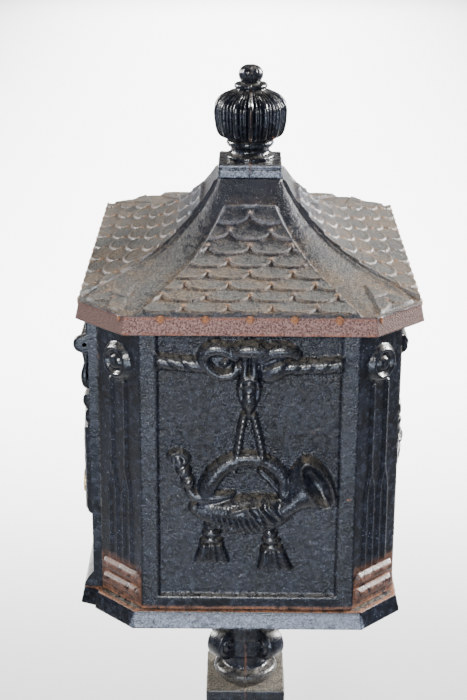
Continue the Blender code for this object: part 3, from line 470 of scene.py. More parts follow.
def side_panel(name, node, turn, material, seed):
    flat = BODY_HALF[1] - BODY_CHAMFER
    end = flat + BODY_CHAMFER * math.sqrt(2)
    field = FIELD_HALF
    s_lines = lines(-end, (-flat, 1.05), (-field, 1.6), (field, 0.8), (flat, 1.6), (end, 1.05))
    v_lines = lines(FLOOR_TOP + GAP - EAVE, (-245, 0.9), (-20, 0.93), (ROOF_SEAT - GAP - EAVE, 2.0))
    s, v = np.meshgrid(s_lines, v_lines)
    p = abs(s) - flat - BODY_CHAMFER / math.sqrt(2)
    in_field = fade(abs(s), field + 0.7, field - 0.7)
    in_field *= field_rows(v)
    relief = put(put(horn_relief(s, v), tassel_relief(s, v)), bow_relief(s, v))
    relief = np.where(abs(s) < field + 0.5, relief, 0)
    marks = unit(lattice(s, v, 5.5, seed + 9) - 0.35) * fade(np.hypot(s - 66, (v + 228) / 1.6), 16, 7)
    height = -FIELD_DEPTH * in_field + blur(relief, 0.45, 0.45) + 2.2 * marks
    corner = abs(s) > flat + 2
    height = np.where(corner, pilaster_relief(p, v), height)
    height = blur(height, 0.5, 0.5)
    ledge = fade(v, -268.2, -270.2) * fade(abs(s), field, field - 2)
    height += 1.2 * ledge * (1 - fade(v, -270.5, -272))
    plain = in_field * fade(relief, 2.0, 0.6) * (0.45 + 0.55 * fade(v, -235, -120))
    fields = sculpt_fields(height, 0.9)
    fields["proud"] *= np.where(corner, 0.15, 1.0)
    calm = 0.75 - 0.40 * fade(abs(s), flat - 1, flat + 1)
    height += calm * casting(s + (40 * (seed % 7)), v, seed, 0.10 + 0.55 * plain)
    x, y, nx, ny = side_outline(s)
    front = np.stack([x + nx * height, y + ny * height, v + EAVE], -1)
    front[:, 0, :2], front[:, -1, :2] = (144.5, -133.5), (144.5, 133.5)
    shell = Shell()
    rust = fade(v, RUST_HIGH, RUST_LOW)
    seam = fade(abs(s), end - 2.4, end - 0.6)
    channels = fade(v, -240, -248) * fade(v, -250, -248.5) * corner
    rolls = fade(v, -246, -250) * corner
    strip = fade(abs(s), field - 1, field + 2) * fade(abs(s), flat + 1, flat - 1)
    grain = np.maximum(plain, 0.45 * strip)
    tops = rolls * (0.38 + 0.25 * unit(fields["hollow"] * 1.6))
    rust = np.maximum(np.maximum(rust, 0.4 * channels), tops)
    shell.grid(front, grain=grain, rust=rust, worn=seam, dusty=-0.55 * rolls, **fields)
    inner_x, inner_y = side_inner(s_lines)
    low = np.stack([inner_x, inner_y, np.full_like(inner_x, front[0, 0, 2])], -1)
    high = low.copy()
    high[:, 2] = front[-1, 0, 2]
    plate_solid(shell, front, (low[0], high[0]), (low[-1], high[-1]), low, high)
    shell.build(name, node, material, turn=turn)


def back_panel(material):
    half = BODY_HALF[0] - BODY_CHAMFER - GAP
    field, depth = 126.0, 2.5
    u_lines = lines(-half, (-field - 3, 1.8), (field + 3, 1.05), (half, 1.8))
    v_lines = lines(FLOOR_TOP + GAP - EAVE, (-20, 1.05), (ROOF_SEAT - GAP - EAVE, 2.0))
    u, v = np.meshgrid(u_lines, v_lines)
    in_field = fade(abs(u), field + 0.7, field - 0.7)
    in_field *= field_rows(v)
    relief = put(scaled(horn_relief, u, v, 1.25, 40.6), scaled(tassel_relief, u, v, 1.25, 40.6))
    relief = put(relief, scaled(bow_relief, u, v, 1.25, 8, reach=100))
    relief = np.where(abs(u) < field + 0.5, relief, 0)
    height = blur(-depth * in_field + blur(relief, 0.45, 0.45), 0.5, 0.5)
    plain = in_field * fade(relief, 2.0, 0.6)
    fields = sculpt_fields(height, 1.05)
    height += casting(u, v, 51, 0.15 + 0.85 * plain)
    height[:, 0], height[:, -1] = 0, 0
    outer = BODY_HALF[1]
    front = np.stack([-u, outer + height, v + EAVE], -1)
    shell = Shell()
    seam = fade(abs(u), half - 2.2, half - 0.6)
    shell.grid(front, grain=plain, rust=fade(v, RUST_HIGH, RUST_LOW), worn=seam, **fields)
    low = np.stack([-u_lines, np.full_like(u_lines, outer - PANEL_WALL), v[0] + EAVE], -1)
    high = low.copy()
    high[:, 2] = front[-1, 0, 2]
    plate_solid(shell, front, (low[0], high[0]), (low[-1], high[-1]), low, high)
    shell.build("back_panel_cast", "back_panel", material)


def rectangle_loop(grid):
    """The border of a (rows, columns, 3) grid as one closed ring of points."""
    return np.concatenate([grid[0, :-1], grid[:-1, -1], grid[-1, :0:-1], grid[:0:-1, 0]])


def turned_rings(profile, steps, centre=(0.0, 0.0)):
    """Rings of a turned shape from (radius, height) points."""
    angle = 2 * math.pi * np.arange(steps) / steps
    rings = []
    for radius, height in profile:
        ring = [centre[0] + radius * np.cos(angle), centre[1] + radius * np.sin(angle)]
        rings.append(np.stack([*ring, np.full(steps, height)], -1))
    return np.array(rings)


def door_section(v):
    """How far the door stands out from its frame at a height: two rolls above a plain border."""
    rolls = [(-104, 2.2), (-104.6, 4.0), (-106.4, 7.2), (-109, 8.8), (-112.5, 9.3), (-116, 8.8)]
    rolls += [(-118.6, 7.4), (-120.6, 5.8), (-121.6, 5.5), (-122.6, 6.2), (-125, 7.4), (-128.5, 7.8)]
    rolls += [(-132, 7.3), (-134.4, 6.0), (-136, 4.7), (-137.2, 6.0), (-139, 7.4), (-141.5, 8.0)]
    rolls += [(-221, 8.0), (-223.6, 7.2), (-225.3, 5.6), (-226, 3.4)]
    heights, reach = np.array(rolls[::-1]).T
    return np.interp(v, heights, reach)


def door_panel(material):
    half, low_v, high_v = 110.0, -226.0, -104.0
    back_y = FRAME_FRONT - GAP
    lock_u, lock_v = 84.0, -203.0
    u_lines = lines(-half, (-half + 3, 0.5), (half - 3, 0.8), (half, 0.5))
    v_lines = lines(low_v, (low_v + 5, 0.5), (high_v - 3, 0.8), (high_v, 0.5))
    u, v = np.meshgrid(u_lines, v_lines)
    side = half - abs(u)
    plate = door_section(v)
    rounded = -2.2 * (1 - arch(1 - unit(side / 2.6)))
    into = np.minimum(np.minimum(side, v - low_v), -147.0 + 11 - v)
    field = fade(into, 10.4, 11.8)
    bead = 1.3 * arch((into - 6.0) / 2.2) * (v < -140)
    reeds = 0.7 * abs(np.sin(u / 12.0 * math.pi)) ** 0.7 * fade(v, -121.5, -120) * fade(side, 2, 5)
    height = plate + rounded - 2.5 * field + bead - reeds
    relief = 0.85 * blur(scaled(horn_relief, u, v, 0.8, -38), 0.5, 0.5)
    relief = np.minimum(relief, 12.2)
    height = np.where(relief > 0.4, np.maximum(height, relief + 3.6), height)
    boss = np.hypot(u - lock_u, v - lock_v)
    pad = np.where(boss < 14.5, 8.0 + 2.6 * np.sqrt(unit(1 - (boss / 14.5) ** 6)), OUTSIDE)
    height = np.where(pad > OUTSIDE / 2, np.maximum(height, pad), height)
    height = np.where(boss < 11.4, 9.5, height)
    height = blur(height, 0.45, 0.45)
    plain = fade(relief, 1.0, 0.3) * field * fade(boss, 15, 16)
    fields = sculpt_fields(height, 0.8)
    height += casting(u, v, 71, 0.1 + 0.7 * plain) * (boss > 11.6) * fade(side, 0.2, 2)
    front = np.stack([u, FRAME_FRONT - height, v + EAVE], -1)
    shell = Shell()
    shell.grid(front, grain=plain, **fields)
    ring = rectangle_loop(front)
    middle = np.array([0, 0, EAVE + (low_v + high_v) / 2])
    at_back = ring.copy()
    at_back[:, 1] = back_y

    def inset(by, y):
        inner = at_back.copy()
        for axis, reach in ((0, half), (2, (high_v - low_v) / 2)):
            inner[:, axis] = middle[axis] + (inner[:, axis] - middle[axis]) * (reach - by) / reach
        inner[:, 1] = y
        return inner

    inner_y = FRAME_FRONT - 1.8
    rings = [ring, at_back, inset(11.0, back_y), inset(11.6, inner_y + 0.6), inset(12.4, inner_y)]
    shell.grid(np.array(rings), closed=True)
    shell.polygon(rings[-1])
    axis_x, axis_y = -121.0, FRAME_FRONT - 6.0
    barrel = [(4.4, low_v), (5, low_v + 0.6)]
    for start in np.linspace(low_v, high_v, 5)[1:-1]:
        barrel += [(5, start - 1.4), (4.3, start - 0.6), (4.3, start + 0.6), (5, start + 1.4)]
    barrel += [(5, high_v - 0.6), (4.4, high_v)]
    shell.loop(turned_rings([(r, z + EAVE) for r, z in barrel], 28, (axis_x, axis_y)))
    web_ends, web_sides = (axis_x + 1, -half + 1), (axis_y + 2.6, axis_y - 1.2)
    web = [(web_ends[0], web_sides[0]), (web_ends[1], web_sides[0])]
    web += [(web_ends[1], web_sides[1]), (web_ends[0], web_sides[1])]
    shell.loop([[(x, y, z + EAVE) for x, y in web] for z in (low_v + 0.8, high_v - 0.8)])
    shell.build("door_cast", "door", material, body="door")


# ------------------------------------------------------------------ roof
ROOF_HALF = (199.4, 146.8)
ROOF_CHAMFER = 41.3
PLATEAU_HALF = 30.0
PLATEAU_CHAMFER = 3.0
ROOF_RISE = 75.3
ROOF_WALL = 5.0
TILES_END = 0.885
SCALE_PITCH = 37.3
SCALE_DEPTH = 13.0


def roof_corners(climb, inset=0.0):
    """Half sizes, chamfer and height of the roof's ring at a share of the way in."""
    half_x = ROOF_HALF[0] + (PLATEAU_HALF - ROOF_HALF[0]) * climb - inset
    half_y = ROOF_HALF[1] + (PLATEAU_HALF - ROOF_HALF[1]) * climb - inset
    chamfer = ROOF_CHAMFER + (PLATEAU_CHAMFER - ROOF_CHAMFER) * climb
    height = EAVE + ROOF_RISE * (0.40 * climb + 0.60 * climb**4) - inset
    return half_x, half_y, chamfer, height


def fish_scales(a, up, exposure, shift=0.0):
    """Height of overlapping round-ended tiles, and marks for their lower edges and joints."""
    best = np.zeros_like(a)
    edge, knot = np.zeros_like(a), np.zeros_like(a)
    row_now = np.floor(up / exposure)
    done = np.zeros(a.shape, bool)
    for back in range(0, 3):
        row = row_now - back
        offset = (frac(row / 2) > 0.25) * 0.5
        da = (frac(a / SCALE_PITCH + 0.5 + offset + shift) - 0.5) * SCALE_PITCH
        half = SCALE_PITCH / 2
        drop = SCALE_DEPTH * (1 - arch(da / half))
        above = up - row * exposure - drop
        here = (above >= 0) & ~done
        tile = 2.4 * (1 - above / (exposure + SCALE_DEPTH)) + 0.5 * hump((above - 1.6) / 1.3)
        tile -= 0.5 * (da / half) ** 2
        best = np.where(here, tile, best)
        edge = np.where(here, hump(above / 2.2), edge)
        r = np.hypot(half - abs(da), up - row * exposure - SCALE_DEPTH)
        knot = np.maximum(knot, hump(r / 2.4))
        done |= here
    return best + 1.0 * knot, edge, knot


def roof_face(name, turn, along_x, material, seed):
    """One of the long faces, or with along_x a short face with the hips at both its ends."""
    climb = lines(0.0, (0.9, 0.0055), (1.0, 0.006))
    cells_flat, cells_hip = (150, 30) if along_x else (235, 0)
    half_x, half_y, chamfer, z = roof_corners(climb)
    if not along_x:
        half_x, half_y = half_y, half_x
    flat = half_y - chamfer
    share = np.linspace(-1, 1, cells_flat + 1)
    x = np.repeat(half_x[:, None], cells_flat + 1, 1)
    y = flat[:, None] * share
    kind = np.zeros(x.shape)
    if cells_hip:
        t = np.linspace(0, 1, cells_hip + 1)[1:]
        hip_x = half_x[:, None] - chamfer[:, None] * t
        hip_y = flat[:, None] + chamfer[:, None] * t
        x = np.concatenate([hip_x[:, ::-1], x, hip_x], 1)
        y = np.concatenate([-hip_y[:, ::-1], y, hip_y], 1)
        kind = np.concatenate([np.ones(hip_x.shape), kind, np.ones(hip_x.shape)], 1)
    base = np.stack([x, y, np.repeat(z[:, None], x.shape[1], 1)], -1)
    if cells_hip:
        softened = blur(base, 0, 7)
        near = hump(abs(abs(y) - flat[:, None]) / 9.0) * fade(climb, 0.06, 0.3)[:, None]
        base = base + (softened - base) * near[..., None]
    up = np.concatenate([[0], np.cumsum(np.hypot(np.diff(half_x), np.diff(z)))])[:, None] + 0 * x
    inset = 13.0 if along_x else 4.0
    side = flat[:, None] - abs(y) - inset
    exposure = 20.0 if along_x else 17.4
    tiles, edge, knot = fish_scales(y, up, exposure)
    top = np.interp(TILES_END, climb, up[:, 0])
    in_field = fade(side, -0.9, 0.9) * fade(up, top + 0.9, top - 0.9) * (kind == 0)
    lip = hump(side / 1.5) * (up < top) * (kind == 0) * (1.0 if along_x else 0.2)
    lip = np.maximum(lip, hump((up - top) / 1.8) * (side > 0) * (kind == 0))
    height = in_field * (1.4 + tiles) + 0.9 * lip
    crest = unit(1 - (abs(y) - flat[:, None]) / np.maximum(chamfer[:, None], 1))
    if along_x:
        across = (abs(y) - flat[:, None] - chamfer[:, None] / 2) * math.sqrt(2)
        room = np.minimum(24.0 * (1 - up / 46.0), 26.0) - abs(across)
        small, small_edge, small_knot = fish_scales(across + 0 * up, up - 4, exposure, 0.5)
        hip_field = fade(room, -0.8, 0.8) * fade(up, 2.2, 3.8) * (kind == 1)
        height += hip_field * (0.3 + 0.8 * small) + 0.7 * hump(room / 1.3) * (kind == 1) * (up < 47)
        edge = np.maximum(edge * in_field, small_edge * hip_field)
        knot = np.maximum(knot * in_field, small_knot * hip_field)
        height += 1.6 * hump(crest / 0.10) * (kind == 1) * fade(up, 8, 30)
    else:
        edge, knot = edge * in_field, knot * in_field
        height += 1.6 * hump((flat[:, None] - abs(y)) / 2.4) * fade(up, 8, 30)
    height = blur(height, 0.5, 0.4)
    fields = sculpt_fields(height, 1.05)
    height += 1.1 * casting(y, up, seed, 0.25)
    row_step, column_step = np.gradient(base, axis=0), np.gradient(base, axis=1)
    normal = np.cross(column_step, row_step)
    normal /= np.linalg.norm(normal, axis=2, keepdims=True) + 1e-12
    rim = fade(up, 0.0, 1.2) * fade(climb, 1.0, 0.985)[:, None]
    outer = base + normal * (height * rim)[..., None]
    inner = base.copy()
    inner[..., 2] -= ROOF_WALL
    inner[..., 0] -= ROOF_WALL
    inner[..., 1] = y * (1 - ROOF_WALL / np.maximum(abs(flat[:, None] + chamfer[:, None] * kind), 12))
    bands = np.linspace(0, len(climb) - 1, 26).round().astype(int)
    shell = Shell()
    high_part = fade(up, 60, 175 if along_x else 120)
    facts = dict(tile_edge=edge, knot=knot, upper=high_part, **fields)
    shell.grid(outer, **facts)
    shell.grid(inner[bands], flip=True)
    shell.grid(np.stack([inner[0], outer[0]]))
    shell.grid(np.stack([outer[-1], inner[-1]]))
    for column in (0, -1):
        shell.polygon(np.concatenate([outer[:, column], inner[bands][::-1, column]]))
    shell.build(name, "roof", material, turn=turn)


def octagon_plan(half_x, half_y, chamfer):
    x, y, c = half_x, half_y, chamfer
    corners = [(x, -(y - c)), (x, y - c), (x - c, y), (-(x - c), y)]
    return np.array(corners + [(-a, -b) for a, b in corners])


def plan_offset(corners, by):
    """A plan outline moved outwards by a distance, or inwards if it is negative."""
    before, after = np.roll(corners, 1, axis=0), np.roll(corners, -1, axis=0)

    def normals(start, end):
        run = (end - start) / np.linalg.norm(end - start, axis=1, keepdims=True)
        return np.stack([run[:, 1], -run[:, 0]], -1)

    one, two = normals(before, corners), normals(corners, after)
    middle = one + two
    return corners + by * 2 * middle / (middle**2).sum(1, keepdims=True)


def plan_points(corners, shares):
    """Points along each edge of an outline at the given shares of it."""
    after = np.roll(corners, -1, axis=0)
    return np.concatenate([a + (b - a) * s[:, None] for a, b, s in zip(corners, after, shares)])


def sweep_plan(corners, profile, step):
    """Rings of (offset, height) points round a plan, and each column's place along it."""
    lengths = np.linalg.norm(np.roll(corners, -1, axis=0) - corners, axis=1)
    shares = [np.arange(max(2, round(n / step))) / max(2, round(n / step)) for n in lengths]
    rings = []
    for offset, height in profile:
        plan = plan_points(plan_offset(corners, offset), shares)
        rings.append(np.concatenate([plan, np.full((len(plan), 1), height)], 1))
    return np.array(rings)


def push(rings, amount):
    """Moves rings of points along the surface's own normals."""
    around = np.roll(rings, -1, axis=1) - np.roll(rings, 1, axis=1)
    down = np.gradient(rings, axis=0)
    normal = np.cross(around, down)
    normal /= np.linalg.norm(normal, axis=2, keepdims=True) + 1e-12
    return rings + normal * np.asarray(amount)[..., None]


def roof_eave(material):
    """The fascia with the seat under it, which the four tiled faces stand on."""
    profile = [(-6, -5.4), (-1.0, -0.2), (0.1, -0.2), (0.5, -1.4)]
    profile += [(0.3 + 2.6 * t, -2.2 - 12.6 * t) for t in np.linspace(0, 1, 9)]
    profile += [(3.2, -15.7), (2.9, -16.5), (2.2, -16.8), (-4.2, -16.8), (-5, -16.2), (-5, -12.2)]
    profile += [(-5.6, -11.7), (-27, -11.7), (-28, -11.0), (-28, -1.4)]
    profile = [(a, EAVE + b) for a, b in profile]
    rings = sweep_plan(octagon_plan(*ROOF_HALF, ROOF_CHAMFER), profile, 1.5)
    x, y, z = rings[..., 0], rings[..., 1], rings[..., 2] - EAVE
    along = np.where(abs(x) > ROOF_HALF[0] - 4, y, x)
    place = np.where(abs(x) > ROOF_HALF[0] - 4, 0.0, 400.0)
    straight = (abs(x) > ROOF_HALF[0] - 4) | (abs(y) > ROOF_HALF[1] - 4)
    da = (frac(along / SCALE_PITCH + 0.5) - 0.5) * SCALE_PITCH
    r = np.hypot(da, (z + 2.6) / 1.1)
    knobs = np.where(straight & (z > -8), 1.8 * arch(r / 3.2), 0)
    rough = 0.5 * casting(along + place, z * 3, 91, 0.5) * (z > -16.9) * fade(z, -12.5, -13.5)
    rough += 0.5 * casting(along + place, z * 3, 95, 0.5) * (z > -12.4) * fade(z, -12.4, -10)
    keep = np.ones(rings.shape[:2])
    keep[:2], keep[-4:] = 0, 0
    rings = push(rings, -(knobs + rough) * keep)
    shell = Shell()
    primer = fade(z, -0.6, -2.0) * fade(z, -16.9, -16.4)
    primer[-9:] = 0
    edge = np.maximum(fade(z, -14.0, -16.6) * primer, fade(z, -3.2, -1.4) * primer)
    shell.grid(rings, closed=True, primer=primer, knob=(knobs > 0.3) * 1.0, brim=edge)
    shell.grid(np.stack([rings[-1], rings[0]]), closed=True)
    for sx in (-1, 1):
        for sy in (-1, 1):
            profile = [(7.6, EAVE + 6), (9, EAVE + 4), (9, ROOF_SEAT - 9.4), (8.2, ROOF_SEAT - 10)]
            shell.loop(turned_rings(profile, 24, (sx * 148.0, sy * 98.0)))
    shell.build("roof_eave_cast", "roof", material)


# ------------------------------------------------------------------ finial and pedestal
def square_rings(profile, steps):
    """Rings from (half or radius, height, squareness, corner radius) points."""
    angle = 2 * math.pi * (np.arange(steps) + 0.5) / steps
    cos, sin = np.cos(angle), np.sin(angle)
    rings = []
    for half, height, square, corner in profile:
        reach = np.maximum(abs(cos), abs(sin))
        flat = half / reach
        inner = half - corner
        tangent = np.minimum(abs(cos), abs(sin)) / reach
        in_corner = tangent * half > inner
        b = inner * (abs(cos) + abs(sin))
        root = np.sqrt(np.clip(b * b - 2 * inner**2 + corner**2, 0, None))
        radius = np.where(in_corner, b + root, flat)
        r = half + (radius - half) * square
        rings.append(np.stack([r * cos, r * sin, np.full(steps, float(height))], -1))
    return np.array(rings)


def refine(profile, step):
    """Adds points to a profile so that none are further apart than the step."""
    out = [profile[0]]
    for a, b in zip(profile, profile[1:]):
        a, b = np.array(a, float), np.array(b, float)
        count = max(1, round(float(np.hypot(*(b - a)[:2])) / step))
        out += [tuple(a + (b - a) * k / count) for k in range(1, count + 1)]
    return np.array(out)


def coordinates(rings):
    """X, Y and Z of the points of rings, and their angle and distance from the axis."""
    x, y, z = np.moveaxis(rings, -1, 0)
    return x, y, z, np.arctan2(y, x), np.hypot(x, y)


def parting_line(y, reach, width):
    """1 along the mould's joint, in the planes that face +X and -X."""
    return hump(y / width) * (reach > 6)


GADROONS = 14


def finial(material):
    """A square base, a ringed neck, a gadrooned ball and a knob; heights are above the eave."""
    low = 75.6
    base = [(28.4, low, 1, 2), (29.1, low + 0.7, 1, 2), (29.1, low + 7.0, 1, 2), (28.7, low + 7.5, 1, 2)]
    base += [(27.9, low + 7.9, 1, 2), (27.9, low + 8.7, 1, 2), (28.9, low + 9.3, 1, 2)]
    base += [(29.1, low + 9.9, 1, 2), (29.0, low + 11.6, 1, 2), (28.2, low + 12.3, 1, 2)]
    base += [(24.5, low + 12.5, 1, 8), (23.2, low + 12.6, 0.15, 16)]
    neck = [(23, 88.6), (23.2, 91), (22.2, 92.6), (19.4, 93.8), (18.2, 95.4), (17.8, 97.4), (18.6, 99.4)]
    neck += [(20.6, 100.6), (21.6, 102.2), (21.8, 104.2), (21, 105.8), (19.9, 106.6), (19.7, 107.4)]
    ball = [(22.5, 107.8), (26.6, 109.0), (30.0, 111.8), (32.2, 116.5), (33.5, 122.5), (34.2, 129)]
    ball += [(34.3, 134.5), (33.4, 139.4), (31.0, 143.6), (27, 147.0), (22, 149.8), (17, 151.4)]
    knob = [(14.2, 152.4), (13.4, 153.2), (14.6, 154.0), (15.2, 155.4), (15.0, 157.0), (13.6, 158.2)]
    knob += [(9.2, 158.8), (8.9, 159.6), (9.8, 161.2), (10.8, 163.4), (11.2, 166.2), (10.7, 169.2)]
    knob += [(9.0, 172.0), (6.2, 173.9), (3.0, 174.8), (0.9, 175.0)]
    rounded = [(r, z, 0, 0) for r, z in curve([(a, b) for a, b in neck + ball + knob], 3)]
    profile = refine(base + rounded, 0.8)
    profile = [(r, EAVE + z, s, max(c, 0.2)) for r, z, s, c in profile]
    rings = square_rings(profile, 400)
    _, y, z, angle, reach = coordinates(rings)
    z = z - EAVE
    in_ball = fade(z, 107.8, 109.6) * fade(z, 152.2, 150.4)
    phase = abs(frac(angle / (2 * math.pi) * GADROONS + 0.5) - 0.5)
    main = arch(phase / 0.21)
    other = 0.66 * arch((phase - 0.355) / 0.105)
    lobes = np.maximum(main, other)
    depth = 3.8 * in_ball * unit(reach / 33)
    line = parting_line(y, reach, 0.7)
    amount = -depth * (1 - lobes) + 0.55 * line
    amount += 0.8 * casting(angle * 30, z, 31, 0.3)
    amount[:2] = 0
    amount[-3:] *= 0.2
    rings = push(rings, amount)
    shell = Shell()
    # Painted glare: marks the base's faces toward +X and -X below the neck, where the colour is lightened to
    # look like a reflection.
    bloom = fade(abs(rings[..., 0]), 27.4, 28.2) * fade(z, 88.4, 87.6)
    shell.loop(rings, hollow=in_ball * unit(1 - lobes), parting=line, bloom=bloom)
    shell.build("finial_cast", "finial", material, sharp=50)


def capital(material):
    """Flange, neck, drum, ring and square block, with a scroll at each corner."""
    top = FLOOR_TOP - 6.3
    block = EAVE - 458.2
    neck = [(12, top), (58.5, top), (60, top - 1.2), (60, top - 6.5), (58.5, top - 8), (55, top - 9)]
    neck += [(52, top - 11), (47, top - 16), (41, top - 24), (35.5, top - 34), (31.5, top - 45)]
    neck += [(28.5, top - 56), (27.4, block + 68), (29.4, block + 66), (30, block + 63)]
    neck += [(30, block + 52), (29.4, block + 50), (27, block + 49), (27, block + 32)]
    neck += [(25.8, block + 30), (23.3, block + 28.5), (22.3, block + 25), (22, block + 17)]
    neck += [(23.2, block + 14), (26, block + 13), (29.6, block + 12.2), (31.9, block + 10)]
    neck += [(32.7, block + 7), (31.9, block + 4), (29.8, block + 1.8), (29.4, block + 0.4)]
    rounded = [(r, z, 0, 0.2) for r, z in neck]
    square = [(33, block + 0.2, 0.5, 14), (37, block + 0.1, 1, 5), (39.2, block - 0.2, 1, 3)]
    square += [(40, block - 1.2, 1, 2.4), (40, EAVE - 538.4, 1, 2.4), (39, EAVE - 540.0, 1, 2.4)]
    square += [(27, EAVE - 540.2, 1, 3), (26, EAVE - 539.2, 1, 3), (26, block - 12, 1, 3)]
    rings = square_rings(refine(rounded + square, 1.4), 288)
    _, y, z, angle, reach = coordinates(rings)
    line = parting_line(y, reach, 1.0)
    leaf = 1.4 * abs(np.sin(angle * 8)) * fade(z, top - 52, top - 44) * fade(z, top - 14, top - 20)
    amount = 0.5 * line + 0.9 * casting(angle * 36 + reach, z, 41, 0.3) + leaf
    amount[:1], amount[-10:] = 0, 0
    rings = push(rings, -amount)
    shell = Shell()
    dust = fade(z, block - 2.5, block - 0.5) * fade(z, block + 12, block + 6)
    shell.loop(rings, parting=line, dusty=dust)
    for quarter in range(4):
        turn = Matrix.Rotation(math.radians(45 + 90 * quarter), 3, "Z")
        radii = np.array([16.9, 16.9, 16.2, 15.0, 13.2, 11.4, 9.6, 7.8, 6.0, 4.2, 2.4, 1.0])
        outs = np.array([0.0, 7.6, 8.7, 9.0, 9.0, 9.0, 9.0, 9.0, 9.0, 9.0, 9.0, 9.0])
        steps = 56
        a = 2 * math.pi * np.arange(steps) / steps
        rings = []
        for side in (1, -1):
            half = []
            for radius, out in zip(radii, outs):
                scroll = 1.2 * np.cos(2 * math.pi * radius / 6.4 - a * side)
                scroll *= 1.5 < radius < 15.5
                across, up = radius * np.cos(a), radius * np.sin(a)
                local = np.stack([30 + across, side * (out + scroll), block + 46 + up], -1)
                half.append(local @ np.array(turn).T)
            rings += half[::-1] if side == 1 else half
        shell.loop(rings)
    shell.build("column_capital_cast", "column_capital", material, sharp=50)


def shaft(material):
    low, high = 150.3, EAVE - 540.5
    ends = [(23, high), (36.8, high), (38, high - 1), (39.4, high - 4), (40, high - 6.5), (39, high - 10)]
    ends += [(37, high - 12), (33, high - 13.5), (30.2, high - 15), (29, high - 19), (28, high - 24)]
    foot = [(28.4, low + 90), (31, low + 56), (33, low + 49), (35, low + 45), (38, low + 42.5)]
    foot += [(41, low + 39), (42.6, low + 34), (42, low + 29), (39.4, low + 26), (37.2, low + 24.6)]
    foot += [(37.4, low + 22.5), (40, low + 19.5), (43, low + 17), (44, low + 14.6), (44, low + 1.2)]
    foot += [(43, low), (23, low)]
    rings = square_rings(refine([(r, z, 0, 0.2) for r, z in ends + foot], 1.4), 288)
    _, y, z, angle, reach = coordinates(rings)
    flutes = unit(np.sin(angle * 8) ** 2 * 1.25 - 0.25) ** 0.6
    fluted = fade(z, low + 60, low + 68) * fade(z, high - 26, high - 33)
    line = parting_line(y, reach, 1.0)
    amount = -3.0 * flutes * fluted + 0.5 * line + 0.9 * casting(angle * 32, z, 45, 0.3)
    amount[:2], amount[-2:] = 0, 0
    rings = push(rings, -amount)
    shell = Shell()
    shell.grid(rings, closed=True, parting=line, hollow=flutes * fluted)
    shell.grid(np.stack([rings[-1], rings[0]]), closed=True)
    shell.build("column_shaft_cast", "column_shaft", material, sharp=50)


def foot(material):
    outside = [(38.8, 150, 2), (40, 149, 3), (44, 146.4, 4), (46, 143, 4), (46, 121, 4), (45, 118.6, 4)]
    outside += [(46.4, 113, 5), (49, 108.4, 6), (53, 101.4, 7), (59.5, 90.6, 8), (67.5, 79, 9)]
    outside += [(76, 68.4, 9), (83.5, 61.4, 9), (88, 57.6, 8), (89.6, 55, 7), (90, 52, 6), (90, 25.5, 6)]
    outside += [(91, 22.6, 7), (94, 21.2, 8), (116.4, 20.6, 8), (118, 19.2, 8), (118, 9.2, 8), (117, 8.3, 8)]
    inside = [(84, 8.3, 6), (80, 40, 6), (62, 56, 6), (46, 80, 6), (36, 104, 6), (30, 134, 6)]
    points = [(half, z, 1, corner * 1.0) for half, z, corner in outside + inside]
    rings = square_rings(refine(points, 2.0), 400)
    x, y, z, angle, _ = coordinates(rings)
    side, reach = np.minimum(abs(x), abs(y)), np.maximum(abs(x), abs(y))
    outer = np.arange(len(rings))[:, None] < np.argmax(rings[:, 0, 2] < 8.4)
    ribs = abs(np.sin(side / np.maximum(reach, 1) * 9.4)) ** 0.7
    cove = fade(z, 60, 66) * fade(z, 114, 108) * outer
    panel = fade(z, 27, 29) * fade(z, 51, 49) * fade(side, 78, 76) * outer
    amount = 2.0 * ribs * cove - 2.0 * panel + 0.9 * casting(angle * 80, z, 47, 0.3) * outer
    amount *= fade(z, 8.4, 9.4)
    amount[:1] = 0
    rings = push(rings, -amount)
    shell = Shell()
    shell.loop(rings, hollow=(1 - ribs) * cove)
    shell.build("column_foot_cast", "column_foot", material, sharp=50)


# ------------------------------------------------------------------ floor, hood and flap
def box_floor(material):
    """The floor plate with its flared flange, its bead and the sill below the door."""
    low, top = FLOOR_TOP - 17.1, FLOOR_TOP
    half_x, half_y, c = 190.0, 139.0, 36.0
    right = [(half_x, -(half_y - c)), (half_x, half_y - c), (half_x - c, half_y), (-(half_x - c), half_y)]
    left = [(-half_x, half_y - c), (-half_x, -(half_y - c)), (-(half_x - c), -half_y)]
    sill_y = -half_y - 13.5
    sill = [(-149, -half_y), (-143, sill_y), (143, sill_y), (149, -half_y), (half_x - c, -half_y)]
    corners = np.array(right + left + sill, float)
    profile = [(-16, top - 0.4), (-7.5, top - 0.4), (-4.8, top - 0.5), (-3.4, top - 0.5)]
    profile += [(-2.9, top - 0.8), (-2.5, top - 1.5), (-2.2, top - 2.6)]
    profile += [(-2.2 + 3.3 * t - 0.4 * t * t, top - 2.6 - 12.4 * t) for t in np.linspace(0.1, 1, 10)]
    profile += [(0.9, low + 1.2), (0.3, low + 0.3), (-1.4, low), (-7, low), (-8, low + 0.8)]
    profile += [(-8, top - 6.4), (-9, top - 6), (-12, top - 6)]
    rings = sweep_plan(corners, profile, 1.6)
    x, y, z = rings[..., 0], rings[..., 1], rings[..., 2]
    along = np.where(abs(x) > 189, y, x)
    swell = 0.9 * lattice(along, along * 0, 60, 5) * fade(z, low - 1, low + 8)
    amount = 1.0 * casting(along, z + (abs(x) > 189) * 300, 61, 0.5)
    face = np.zeros(len(profile))
    face[2:18] = 1
    rings = push(rings, -amount * face[:, None])
    rings[2:18, :, 2] += (0.5 * swell)[2:18]
    rust = (fade(z, top - 1.6, top - 0.9) * (np.arange(len(rings)) > 1)[:, None]) * 1.0
    shell = Shell()
    # Painted glare: marks the flange's faces toward +X and -X, where the colour is lightened to look like a
    # reflection.
    bloom = face[:, None] * fade(abs(x), 187.5, 188.5) * fade(z, top - 1.6, top - 3.0)
    shell.loop(rings, rust=rust, bloom=bloom)
    shell.build("box_floor_cast", "box_floor", material, sharp=50)


